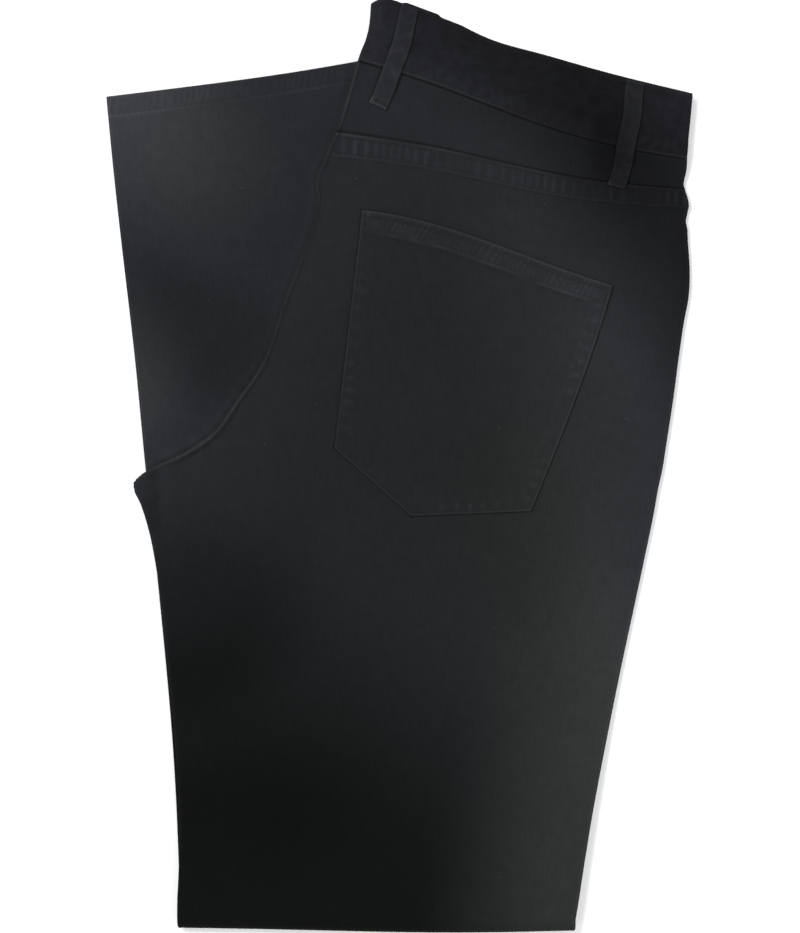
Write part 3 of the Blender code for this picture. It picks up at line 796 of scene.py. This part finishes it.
THREAD_BLACK = (0.0115, 0.0118, 0.0136, 1.0)
THREAD_WIDTH = 0.55
THREAD_HEIGHT = 0.42
STITCH_LENGTH = 2.5
STITCH_PITCH = 3.15


def thread(name, shade_and_tone_patches):
    """Polyester core thread, dyed black with the garment, its plies uneven along each stitch."""
    finish = Finish(name)
    solid = finish.node("ShaderNodeTexCoord", output=3)
    plies = finish.noise(solid, 2600.0, 1.0)
    # The garment's painted shade and painted light from the soft ovals fall on the thread as well.
    shade, _ = finish.painted_shade_and_tone(shade_and_tone_patches, solid, 1.0)
    finish.give("Base Color", finish.blend("MULTIPLY", 1.0, THREAD_BLACK, (0.6 + plies * 0.8) * shade))
    finish.give("Roughness", 0.6 + plies * 0.2)
    finish.give("Specular IOR Level", 0.12)
    return finish.material


upper_thread = thread("upper_thread", UPPER_SHADE_AND_TONE)
bpy.ops.object.select_all(action="DESELECT")
bpy.ops.mesh.primitive_uv_sphere_add(segments=6, ring_count=4, radius=0.5, rotation=(0.0, math.pi / 2, 0.0))
bpy.ops.object.transform_apply(location=False, rotation=True, scale=False)
stitch_pattern = bpy.context.object
stitch_points = np.array([vertex.co for vertex in stitch_pattern.data.vertices])
stitch_faces = [tuple(face.vertices) for face in stitch_pattern.data.polygons]
bpy.data.objects.remove(stitch_pattern)
cloth_trees = {}
ABOVE_ALL = 0.1
STITCH_SHAKE = 0.06
STITCH_COVER = 0.4
STEEPEST_STITCH = 0.8
stitch_shake = np.random.default_rng(7)


def lay_on(cloth, x, y):
    """The cloth's highest point, and its normal, at a point of the plan in metres."""
    if cloth.name not in cloth_trees:
        cloth_trees[cloth.name] = BVHTree.FromObject(cloth, bpy.context.evaluated_depsgraph_get())
    return cloth_trees[cloth.name].ray_cast(Vector((x, y, ABOVE_ALL)), Vector((0.0, 0.0, -1.0)))[:2]


def stitches(name, paths, cloth, finish, length=STITCH_LENGTH, pitch=STITCH_PITCH, crosswise=False):
    """Rows of stitches along paths of the plan, in millimetres, sewn down on the cloth below.

    Crosswise stitches lie side by side across the path, as in a bar tack.
    """
    vertices, faces = [], []
    for path in paths:
        path = np.asarray(path, float)
        steps = travelled(path)
        count = max(1, int(steps[-1] / pitch))
        middles = (np.arange(count) + 0.5) * steps[-1] / count
        for middle in middles + stitch_shake.normal(0.0, STITCH_SHAKE, count):
            ends = np.clip([middle - STITCH_COVER * pitch, middle + STITCH_COVER * pitch], 0.0, steps[-1])
            (x0, x1), (y0, y1) = (np.interp(ends, steps, path[:, k]) for k in (0, 1))
            along = np.array((x1 - x0, y1 - y0)) / max(math.hypot(x1 - x0, y1 - y0), 1e-6)
            if crosswise:
                along = np.array((-along[1], along[0]))
            half = 0.5 * length * along
            centre = np.array((0.5 * (x0 + x1), 0.5 * (y0 + y1)))
            found = [lay_on(cloth, *(MM * (centre + side * half))) for side in (-1, 0, 1)]
            if (None, None) in found:
                continue
            first, middle_point, last = (np.array(point) for point, _ in found)
            run = last - first
            if abs(run[2]) > STEEPEST_STITCH * length * MM:
                continue
            side = np.cross(np.array(found[1][1]), run)
            side /= np.linalg.norm(side)
            up = np.cross(run, side) / np.linalg.norm(run)
            centre = 0.25 * (first + last) + 0.5 * middle_point + up * 0.1 * THREAD_HEIGHT * MM
            shape = (
                np.outer(stitch_points[:, 0], run)
                + np.outer(stitch_points[:, 1], side) * THREAD_WIDTH * MM
                + np.outer(stitch_points[:, 2], up) * THREAD_HEIGHT * MM
            )
            base = len(stitch_points) * len(vertices)
            vertices.append(centre + shape)
            faces += [tuple(base + corner for corner in face) for face in stitch_faces]
    mesh = bpy.data.meshes.new(name)
    mesh.from_pydata(np.concatenate(vertices).tolist(), [], faces)
    mesh.materials.append(finish)
    mesh.shade_smooth()
    sewn = bpy.data.objects.new(name, mesh)
    bpy.context.scene.collection.objects.link(sewn)
    hang(sewn)
    return sewn


def plan_path(s, a, n=0.0):
    """Points of the plan, in millimetres, for distances along and across the upper half."""
    return place(s, a, n)[..., :2]


across_back = spaced(3.0, float(width_at(YOKE_SEAM)) - 2.0, 2.0)
fell_paths = [plan_path(YOKE_SEAM + row, across_back) for row in FELL_ROWS]
fell_stitches = stitches("fell_stitches", fell_paths, right_back_panel, upper_thread)


# Back pocket
# A patch of the same denim with five corners, its edges turned under and sewn down with two rows, its
# mouth turned over twice for a 14 mm hem, and a bar tack at each end of the mouth.

Corner = namedtuple("Corner", "name x y")
MOUTH_LINE = (
    Corner("mouth left", -23.1, 157.6),
    Corner("mouth start", -1.5, 155.6),
    Corner("mouth upper", 27.4, 146.6),
    Corner("mouth middle", 68.6, 134.0),
    Corner("mouth lower", 111.6, 117.6),
    Corner("mouth right", 131.3, 111.6),
)
SIDE_LINE = (
    Corner("mouth right", 131.3, 111.6),
    Corner("side upper", 127.0, 97.8),
    Corner("side middle", 115.9, 62.1),
    Corner("side lower", 101.8, 24.6),
    Corner("bottom right", 80.9, -27.7),
)
BOTTOM_LINE = (
    Corner("bottom left", -40.3, 11.1),
    Corner("point", 7.1, -30.8),
    Corner("bottom right", 80.9, -27.7),
)
POCKET_LAYER = 1.4
POCKET_TURNING = 9.5
POCKET_TURNING_RISE = 0.35
POCKET_MOUTH_RISE = 0.75
POCKET_MOUTH_HEM = 14.0
POCKET_ROWS = (1.7, 7.6)
POCKET_PUCKER = 0.17
MOUTH_ROWS = (4.6, 12.2)
TACK_PITCH = 0.5


def along_line(corners, share, smooth):
    """Plan points at shares of the way along a line of corners, rounded between them if smooth."""
    xy = np.array([(corner.x, corner.y) for corner in corners])
    steps = travelled(xy)
    at = share * steps[-1]
    if not smooth:
        return np.stack([np.interp(at, steps, xy[:, k]) for k in (0, 1)], axis=-1)
    fit = [polyfit(steps, xy[:, k], 3) for k in (0, 1)]
    curve, first, last = (np.stack([polyval(d, c) for c in fit], axis=-1) for d in (at, 0.0, steps[-1]))
    t = share[:, None]
    return curve + (1 - t) * (xy[0] - first) + t * (xy[-1] - last)


# The point of the pocket's foot lies at this share of the way along its bottom line.
POINT_SHARE = 0.4615
POCKET_EDGE = (0.0, 0.3, 0.7, 1.1, 1.5, 1.9, 2.4, 3.0)
POCKET_PITCH = 1.45
MOUTH_LENGTH = 160.0
POCKET_DEPTH = 150.0
pocket_u = crowded(MOUTH_LENGTH, POCKET_EDGE, POCKET_PITCH) / MOUTH_LENGTH
pocket_v = (crowded(POCKET_DEPTH, POCKET_EDGE, POCKET_PITCH) / POCKET_DEPTH)[:, None, None]
pocket_u = np.sort(np.append(pocket_u, POINT_SHARE)).reshape(1, -1, 1)
mouth = along_line(MOUTH_LINE, pocket_u.ravel(), True)[None]
foot = along_line(BOTTOM_LINE, pocket_u.ravel(), False)[None]
left = along_line((MOUTH_LINE[0], BOTTOM_LINE[0]), pocket_v.ravel(), False)[:, None]
right = along_line(SIDE_LINE, pocket_v.ravel(), True)[:, None]
bilinear = (
    (1 - pocket_u) * (1 - pocket_v) * mouth[:, :1]
    + pocket_u * (1 - pocket_v) * mouth[:, -1:]
    + (1 - pocket_u) * pocket_v * foot[:, :1]
    + pocket_u * pocket_v * foot[:, -1:]
)
pocket_plan = (1 - pocket_v) * mouth + pocket_v * foot + (1 - pocket_u) * left + pocket_u * right - bilinear


def from_line(plan, line):
    """Distance of plan points from a line of points, and how far along the line the nearest place is."""
    best = np.full(plan.shape[:-1], np.inf)
    where = np.zeros(plan.shape[:-1])
    for one, two, before in zip(line, line[1:], travelled(line)):
        run = two - one
        length = math.hypot(*run)
        t = np.clip(((plan - one) @ run) / length**2, 0.0, 1.0)
        off = np.hypot(*np.moveaxis(plan - one - t[..., None] * run, -1, 0))
        where = np.where(off < best, before + t * length, where)
        best = np.minimum(best, off)
    return best, where


pocket_side = np.concatenate([left[:, 0], foot[0][1:], right[::-1, 0][1:]])[::3]
pocket_side = np.concatenate([pocket_side, right[:1, 0]])
from_side, along_side = from_line(pocket_plan, pocket_side)
from_mouth, along_mouth = from_line(pocket_plan, mouth[0])
turned_under = 1 - ease((from_side - POCKET_TURNING) / 2.0)
mouth_hem = 1 - ease((from_mouth - POCKET_MOUTH_HEM) / 0.9)
side_crest = puckers(0.62 * along_side, 1.1)
mouth_crest = puckers(2.0 * pocket_plan[..., 0] + 1.1 * from_mouth + 1.2 * np.sin(along_mouth / 5.0), 2.3)
off_edge = np.minimum(from_side, from_mouth)
side_held = ease((from_side - POCKET_ROWS[0]) / 1.5) * ease((POCKET_ROWS[1] - from_side + 0.6) / 1.6)
mouth_held = ease((from_mouth - 1.2) / 1.8) * ease((POCKET_MOUTH_HEM - 0.8 - from_mouth) / 1.8)
below_mouth = 1 - mouth_hem
height = POCKET_LAYER + POCKET_TURNING_RISE * turned_under + POCKET_MOUTH_RISE * mouth_hem
height = height - 0.85 * POCKET_LAYER * turned(off_edge, 0.9)
height = height + POCKET_PUCKER * (side_held * side_crest * below_mouth + mouth_held * mouth_crest)
height = height - grooves(from_mouth, MOUTH_ROWS) - below_mouth * grooves(from_side, POCKET_ROWS)
blotches = 0.5 + 0.5 * np.sin(along_mouth / 2.9 + 2.0 * np.sin(along_mouth / 11.0)) * np.sin(from_mouth / 1.9)
dashes = near(from_side, 5.0, 2.6) * side_crest**1.6
dashes = dashes + 0.4 * near(from_side, 9.0, 1.1) * puckers(0.8 * along_side, 2.7)
specks = mouth_crest * (0.3 + 0.7 * np.sin(0.95 * from_mouth + 1.6 * np.sin(along_mouth / 3.7)) ** 2)
hem_line = ease(along_mouth / 30.0) * ease((154.0 - along_mouth) / 10.0)
hem_line = hem_line - 0.9 * near(along_mouth, 111.0, 8.0) - 0.5 * near(along_mouth, 70.0, 7.0)
hem_line = hem_line * (0.8 + 0.2 * np.sin(along_mouth / 2.6))
# Abrasion and painted highlights on the pocket's edges, pucker crests and mouth hem ridge; painted shade
# along its rim, beside the mouth's first stitch row and under the mouth hem's ridge.
rubbing_and_painted_shading = (
    0.26 * near(off_edge, 1.0, 0.6)
    - 0.35 * near(off_edge, 0.0, 0.45)
    + 0.14 * near(from_mouth, 1.5, 0.8)
    + (0.3 + 0.16 * ease((along_side - 280.0) / 20.0)) * below_mouth * dashes
    + mouth_held * (0.42 * specks + 0.06 * blotches)
    - 0.2 * near(from_mouth, MOUTH_ROWS[0] - 0.6, 0.8)
    + 0.36 * near(from_mouth, POCKET_MOUTH_HEM - 0.5, 1.0) * hem_line
    - 0.3 * near(from_mouth, POCKET_MOUTH_HEM + 1.5, 0.9) * hem_line
    + 0.22 * near(from_mouth, 5.0, 5.0) * near(along_mouth, 4.0, 9.0) * blotches
)
plan_points = pocket_plan.reshape(-1, 2) * MM
panel_level = np.array([lay_on(right_back_panel, *xy)[0].z / MM for xy in plan_points])
points = np.concatenate([pocket_plan, (panel_level.reshape(height.shape) + height)[..., None]], axis=-1)
grain = np.stack([pocket_plan[..., 0], -pocket_plan[..., 1]], axis=-1)
thick = 0.9 * POCKET_LAYER + 0 * height
back_pocket = cut_sheet("back_pocket_cloth", points, grain, thick, rubbing_and_painted_shading, upper_denim, True, 0.25)
hang(back_pocket)
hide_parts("back_pocket")


def moved_in(line, distance):
    """A line of straight runs moved to its left by a distance, its corners kept."""
    runs = [(two - one) / math.hypot(*(two - one)) for one, two in zip(line, line[1:])]
    moved = []
    for k, corner in enumerate(line):
        normals = [np.array((-run[1], run[0])) for run in runs[max(k - 1, 0) : k + 1]]
        middle = sum(normals) / len(normals)
        moved.append(corner + distance * middle / (middle @ middle))
    return np.array(moved)


side_corners = np.concatenate([
    [left[0, 0], left[-1, 0], (BOTTOM_LINE[1].x, BOTTOM_LINE[1].y)],
    along_line(SIDE_LINE, np.linspace(1.0, 0.0, 12), True),
])
pocket_paths = [moved_in(side_corners, row) for row in POCKET_ROWS]
pocket_paths += [moved_in(mouth[0][4:-4], -row) for row in MOUTH_ROWS]
pocket_stitches = stitches("pocket_stitches", pocket_paths, back_pocket, upper_thread)
tack_paths = [
    [mouth[0][0] + (2.0, -2.2), mouth[0][0] + (1.2, -11.5)],
    [mouth[0][-1] + (-3.0, -2.4), mouth[0][-1] + (-5.8, -11.4)],
]
pocket_tacks = stitches("pocket_bar_tacks", tack_paths, back_pocket, upper_thread, 1.8, TACK_PITCH, True)


# Right yoke
# The shaped strip between the waistband and the back panel, cut from the same denim. Its upper edge goes
# into the waistband and its lower edge under the panel's felled fold.

YOKE_TUCK = 3.5
YOKE_SINK = 0.75


def yoke_tuck(s):
    """How far the yoke's lower edge sinks under the panel's fold."""
    return YOKE_SINK * ease((s - YOKE_SEAM + 1.6) / 2.0)


s = np.concatenate([
    spaced(BAND_SEAM - YOKE_TUCK, BAND_SEAM, 1.6)[:-1],
    BAND_SEAM + np.array((0.0, 0.3, 0.6, 0.9, 1.3, 1.8)),
    spaced(BAND_SEAM + 2.6, YOKE_SEAM - 1.8, 1.6),
    YOKE_SEAM + np.array((-1.4, -1.0, -0.6, -0.2, 0.2)),
    spaced(YOKE_SEAM + 1.0, YOKE_SEAM + YOKE_TUCK, 1.2),
])
s, a = grid_of(s, 2.4)
bead, rubbing_and_painted_shading = seam_edges(s, a)
level = top_low(s) + yoke_layer(s) - yoke_tuck(s)
# Painted shadow lines just under the waistband's seam and just above the panel's felled fold.
rubbing_and_painted_shading = rubbing_and_painted_shading - 0.9 * near(s, BAND_SEAM + 0.6, 0.55) - 0.4 * near(s, YOKE_SEAM - 0.6, 0.7)
points = place(s, a, level - edge_turn(s, a, level - seam_level(s)) + bead)
grain = weave_on(points, s)
right_yoke = cut_sheet("right_yoke_cloth", points, grain, DENIM + 0 * s, rubbing_and_painted_shading, upper_denim, True)
hang(right_yoke)
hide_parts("right_yoke")
yoke_flat, yoke_area = sheet_facts(BAND_SEAM - YOKE_TUCK, YOKE_SEAM + YOKE_TUCK)


# Left back panel
# The back of the left leg, the same cut turned over. It lies under the fronts at the seat and inside the
# knee fold, so its lower leg is on top where it comes out at the upper left. The hem is turned up twice,
# 12 mm high, and held by one row of stitching.

# Painted light on the lower leg along the seat seam, lifting the shadow that the raised upper half casts
# there.
SEAM_SHADOW_LIFT = 0.3
SEAM_SHADOW_LIFT_REACH = 3.2
# The same denim as the upper half, drawn 1.1 times as bright and with the lower leg's painted shade and
# light.
lower_denim = denim("lower_denim", DENIM_BLACK, 1.1, LOWER_SHADE_AND_TONE)
s, a = grid_of(leg_rows(YOKE_SEAM, 7.0, 0.62), 1.5)
bead, rubbing_and_painted_shading = seam_edges(s, a)
hem_height, hem_wear_and_highlights = hem_edge(s, a)
turn = edge_turn(s, a, seam_level(s)) + TURN_DEPTH * turned(HEM_EDGE - s, EDGE_ROUND)
points = place(s, a, turn - bead - hem_height)
seat_s = spaced(0.0, THIGH.at("crotch tip"), 3.0)
seat_edge = np.stack(THIGH.point(seat_s, bumped(seat_s, 0.0 * seat_s)), axis=-1)
from_seam = from_line(points[..., :2], seat_edge)[0]
rubbing_and_painted_shading = rubbing_and_painted_shading + hem_wear_and_highlights + SEAM_SHADOW_LIFT * near(from_seam, 0.0, SEAM_SHADOW_LIFT_REACH) * (s > FOLD_END)
grain, thick = weave_on(points, s), WALL_SHARE * under_layer(s)
left_back_panel = cut_sheet("left_back_panel_cloth", points, grain, thick, rubbing_and_painted_shading, lower_denim, False)
hang(left_back_panel)
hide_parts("left_back_panel")
across_hem = spaced(2.0, float(width_at(HEM_EDGE)) - 2.0, 2.0)
hem_path = plan_path(HEM_EDGE - HEM_STITCH, across_hem)
lower_thread = thread("lower_thread", LOWER_SHADE_AND_TONE)
hem_stitches = stitches("hem_stitches", [hem_path], left_back_panel, lower_thread)
panel_flat, panel_area = sheet_facts(YOKE_SEAM, HEM_EDGE)


# Left yoke
# The left half's yoke, face down on the table under everything else at the hip.

LEFT_YOKE_LIFT = 0.4
s, a = grid_of(spaced(BAND_SEAM - YOKE_TUCK, YOKE_SEAM + YOKE_TUCK, 4.0), 6.0)
points = place(s, a, LEFT_YOKE_LIFT + yoke_tuck(s) + edge_turn(s, a, seam_level(s) - LEFT_YOKE_LIFT))
grain = np.stack([a, s], axis=-1)
left_yoke = cut_sheet("left_yoke_cloth", points, grain, DENIM + 0 * s, 0 * s, lower_denim, False)
hang(left_yoke)
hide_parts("left_yoke")


# Right and left fronts
# The two front halves, hidden face to face between the backs from the waist to the hems. Only their edges
# show, as the middle layers of the folded stack.

FRONT_CLEARANCE = 0.2
FRONT_INSET = 0.8


def front(name, faces_up):
    """One front, its outer face against its own back half."""
    s = np.concatenate([spaced(FRONT_INSET, BAND_SEAM, 3.0)[:-1], leg_rows(BAND_SEAM, 9.0, 2.4)])
    s = s[s <= HEM_EDGE - FRONT_INSET + 1e-6]
    inset = (seat_share(s) * (np.maximum(top_layer(s), under_layer(s)) + GAP))[:, None]
    s, a = grid_of(s, 8.0)
    a = inset + a * ((width_at(s) - inset) / width_at(s))
    turn = 0.5 * DENIM * (turned(a - inset, 1.0) + turned(width_at(s) - a, 1.0))
    face = fronts_high(s) - turn if faces_up else fronts_low(s) + turn
    thick = 0.5 * front_layers(s) - FRONT_CLEARANCE
    grain = np.stack([a, s], axis=-1)
    return cut_sheet(name, place(s, a, face), grain, thick, 0 * s, lower_denim, faces_up)


right_front = front("right_front_cloth", True)
left_front = front("left_front_cloth", False)
front_flat, front_area = sheet_facts(0.0, HEM_EDGE)
for piece, below in ((right_front, left_front), (left_front, left_back_panel)):
    hang(piece)
    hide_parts("hidden_fronts")


# Waistband
# A doubled strip of the same denim, a little darker and about 40 mm high, with the upper half's painted shade
# and light. It runs over the right half, round the centre-back fold and under the left half. One row of
# stitching holds it to the yoke and another runs under its top edge.

BAND_BLACK = (0.0112, 0.0115, 0.0142, 1.0)
BAND_TURN_REACH = 3.0
BAND_TURN_STEPS = 14
BAND_STITCHES = (2.2, 38.6)
BAND_PUCKER = 0.16
band_denim = denim("band_denim", BAND_BLACK, 0.92, UPPER_SHADE_AND_TONE, 0.8)
BAND_EDGE = (0.0, 0.4, 0.9, 1.5, 2.2)
band_rows = spaced(BAND_EDGE[-1], BAND_SEAM - 2.0, 1.3)[1:]
s = np.concatenate([BAND_EDGE, band_rows, BAND_SEAM - np.array((1.3, 0.8, 0.4, 0.0))])
past_turn = width_at(s)[:, None] - BAND_TURN_REACH
over = BAND_TURN_REACH + past_turn * spaced(0.0, 1.0, 1.5 / 200.0)[None, :0:-1]
theta = np.pi * np.arange(BAND_TURN_STEPS + 1) / BAND_TURN_STEPS
under = BAND_TURN_REACH + past_turn * spaced(0.0, 1.0, 5.0 / 200.0)[None, 1:]
around = np.broadcast_to(BAND_TURN_REACH * (1 - np.sin(theta)), (len(s), len(theta)))
a = np.concatenate([over, around, under], axis=1)
s = np.broadcast_to(s[:, None], a.shape)
high = top_low(s) + BAND_LAYER
side = np.concatenate([np.ones(over.shape[1]), np.cos(theta), -np.ones(under.shape[1])])[None]
up = BAND_SEAM - s
held = ease((up - 1.6) / 1.5) * ease((13.0 - up) / 6.0)
crest = puckers(0.8 * a + 2.0 * np.sin(up / 3.0 + a / 9.0), 4.2)
relief = BAND_PUCKER * held * crest - grooves(up, BAND_STITCHES)
relief = relief - 0.8 * turned(up, 0.9) - 0.9 * turned(s, 1.3) - 0.8 * turned(width_at(s) - a, 1.3)
relief = relief + 0.12 * near(np.sin(a / 13.0 + s / 19.0), 1.0, 0.5)
# Abrasion and a painted highlight along the band's rolled lower edge, on its top fold edge and on its pucker
# crests.
seam_wear_and_highlight = 0.42 + 0.25 * ease((a - 150.0) / 40.0) - 0.16 * near(a, 140.0, 34.0)
seam_wear_and_highlight = seam_wear_and_highlight * (0.8 + 0.2 * np.sin(a / 0.55))
rubbing_and_painted_shading = seam_wear_and_highlight * near(up, 0.6, 0.7) + 0.2 * near(s, 1.2, 0.7) + 0.2 * held * crest
points = place(s, a, 0.5 * high + side * (0.5 * high + relief))
grain = np.stack([s, a * np.sign(side + 1e-9)], axis=-1)
thick = WALL_SHARE * BAND_LAYER + 0 * s
waistband = cut_sheet("waistband_cloth", points, grain, thick, rubbing_and_painted_shading, band_denim, False, 0.7)
hang(waistband)
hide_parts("waistband")
waist = float(width_at(0.0))
across_band = spaced(1.0, waist - 2.0, 2.0)
band_paths = [plan_path(BAND_SEAM - row, across_band) for row in BAND_STITCHES]
band_stitches = stitches("band_stitches", band_paths, waistband, upper_thread)
BAND_SEAM * MM


# Belt loops
# Strips of denim folded in three, 11.6 mm wide, that bridge the waistband. Each is sewn near both edges and
# bar-tacked at its top and at its turned-under foot.

# Top and foot are distances along the garment. Slope is how much further down the foot is cut at the right,
# for each millimetre across, and lightening is how much lighter the whole loop is drawn. The line holds how
# far across the middle lies at five even steps from top to foot.
Loop = namedtuple("Loop", "node top foot slope rubbed line")
LOOPS = (
    Loop("belt_loop_centre", 0.8, 59.5, 0.17, 0.12, (26.0, 22.9, 21.9, 21.5, 19.4)),
    Loop("belt_loop_side", 1.2, 76.4, 0.16, 0.26, (170.6, 169.7, 171.7, 173.8, 175.4)),
)
LOOP_WIDTH = 11.6
LOOP_LAYER = 1.8
LOOP_RISE = 0.6
LOOP_LEAD = 5.0
LOOP_FOOT = 9.0
LOOP_EDGES = (0.0, 0.3, 0.7, 1.2, 1.7, 2.2)


def loop_middle(loop, t):
    """Distance across of a loop's middle, on a smooth line through its five steps."""
    steps = np.linspace(0.0, 1.0, len(loop.line))
    return polyval(t, polyfit(steps, loop.line, 4))


def loop_level(s, t):
    """Height through the layers of a loop's underside."""
    band_height = top_low(np.minimum(s, BAND_SEAM)) + BAND_LAYER
    past_seam = ease((s - BAND_SEAM - 2 * EDGE_ROUND) / SEAM_ALLOWANCE)
    past_band = np.maximum(s, BAND_SEAM + GAP)
    onto_fell = ease((s - YOKE_SEAM + LOOP_LEAD) / LOOP_LEAD) * (FELL_LAYER - DENIM)
    beyond = top_high(past_band) + np.where(past_band < YOKE_SEAM, onto_fell, 0.0)
    return mix(band_height, beyond, past_seam) + GAP + LOOP_RISE * np.sin(np.pi * t)


for loop in LOOPS:
    length = loop.foot - loop.top
    t = crowded(length, LOOP_EDGES, 0.8) / length
    from_left, t = np.meshgrid(crowded(LOOP_WIDTH, LOOP_EDGES, 0.7), t)
    s = mix(loop.top, loop.foot, t) + loop.slope * (from_left - 0.5 * LOOP_WIDTH) * ease(2 * t - 1)
    a = loop_middle(loop, t) - 0.5 * LOOP_WIDTH + from_left
    off_edge = np.minimum(from_left, LOOP_WIDTH - from_left)
    off_end = length * np.minimum(t, 1 - t)
    off_foot = length * (1 - t)
    lumps = puckers(0.7 * length * t + 1.5 * np.sin(from_left / 2.0 + t * 9.0), loop.foot)
    relief = 0.12 * near(off_edge, 2.6, 0.7) - 0.16 * near(off_edge, 1.5, 0.4) + 0.14 * lumps
    relief = relief - 1.4 * turned(off_edge, 1.6) - 0.8 * turned(off_end, 0.8)
    relief = relief + 0.5 * ease((LOOP_FOOT - off_foot) / 1.2)
    # Abrasion and painted highlights on the loop's lumps, edges, ends and the left corner of its foot, and
    # painted light on its side walls, where they would be shaded.
    rubbing_and_painted_shading = (
        loop.rubbed
        + 0.22 * lumps
        + 0.2 * near(off_edge, 1.1, 0.9)
        + 0.16 * near(off_edge, 0.0, 0.7)
        + 0.3 * near(off_end, 0.6, 0.7)
        + 0.5 * near(off_foot, 1.5, 1.8) * near(from_left, 1.0, 1.4)
    )
    points = place(s, a, loop_level(s, t) + LOOP_LAYER + relief)
    grain = np.stack([from_left, s], axis=-1)
    thick = LOOP_LAYER * mix(0.25, 0.9, ease(off_edge / 1.6))
    belt_loop = cut_sheet(loop.node + "_cloth", points, grain, thick, rubbing_and_painted_shading, band_denim, True, 0.2)
    hang(belt_loop)
    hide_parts(loop.node)
    row_t = np.linspace(0.02, 0.98, 40)
    row_middle = loop_middle(loop, row_t)
    row_s = mix(loop.top, loop.foot, row_t)
    rows = [plan_path(row_s, row_middle + side * (0.5 * LOOP_WIDTH - 1.5)) for side in (-1, 1)]
    loop_rows = stitches(loop.node + "_stitches", rows, belt_loop, upper_thread)
    tacks = []
    for end in (2.2 / length, 1 - 2.2 / length):
        off_middle = np.array((-0.5, 0.5)) * (LOOP_WIDTH - 2.4)
        tack_s = mix(loop.top, loop.foot, end) + loop.slope * off_middle * ease(2 * end - 1)
        tacks.append(plan_path(tack_s, loop_middle(loop, end) + off_middle))
    loop_tacks = stitches(loop.node + "_tacks", tacks, belt_loop, upper_thread, 1.7, TACK_PITCH, True)


# Table, light and camera
# A plain pale floor, soft studio light from above and both sides, and a camera straight above at the
# photograph's framing.

bpy.ops.object.select_all(action="DESELECT")
bpy.ops.mesh.primitive_plane_add(size=8.0, location=(0.0, 0.0, -0.0003))
floor = bpy.context.object
floor.name = "floor"
paper = Finish("pale_floor")
paper.give("Base Color", (0.94, 0.94, 0.94, 1.0))
paper.give("Roughness", 0.9)
floor.data.materials.append(paper.material)

world = bpy.data.worlds.new("studio")
bpy.context.scene.world = world
world.use_nodes = True
backdrop = world.node_tree.nodes["Background"].inputs
backdrop["Color"].default_value = (1.0, 1.0, 1.0, 1.0)
backdrop["Strength"].default_value = 0.5


def soft_light(name, location, size, power):
    bpy.ops.object.light_add(type="AREA", location=location)
    lamp = bpy.context.object
    lamp.name = name
    lamp.data.shape = "SQUARE"
    lamp.data.size = size
    lamp.data.energy = power
    lamp.rotation_euler = (-Vector(location)).to_track_quat("-Z", "Y").to_euler()


soft_light("key_light", (-1.0, 0.9, 2.6), 0.9, 74.0)
soft_light("fill_light", (1.1, -0.7, 2.6), 1.0, 42.0)

bpy.context.scene.view_settings.view_transform = "Standard"
MM_PER_PIXEL = 0.6132
PICTURE_HEIGHT = 933
CAMERA_HEIGHT = 3.0
GARMENT_LEVEL = 0.010
bpy.ops.object.camera_add(location=(0.3 * MM, 0.0, CAMERA_HEIGHT))
camera = bpy.context.object
camera.data.sensor_width = 36.0
field = MM_PER_PIXEL * MM * PICTURE_HEIGHT
camera.data.lens = camera.data.sensor_width * (CAMERA_HEIGHT - GARMENT_LEVEL) / field
bpy.context.scene.camera = camera
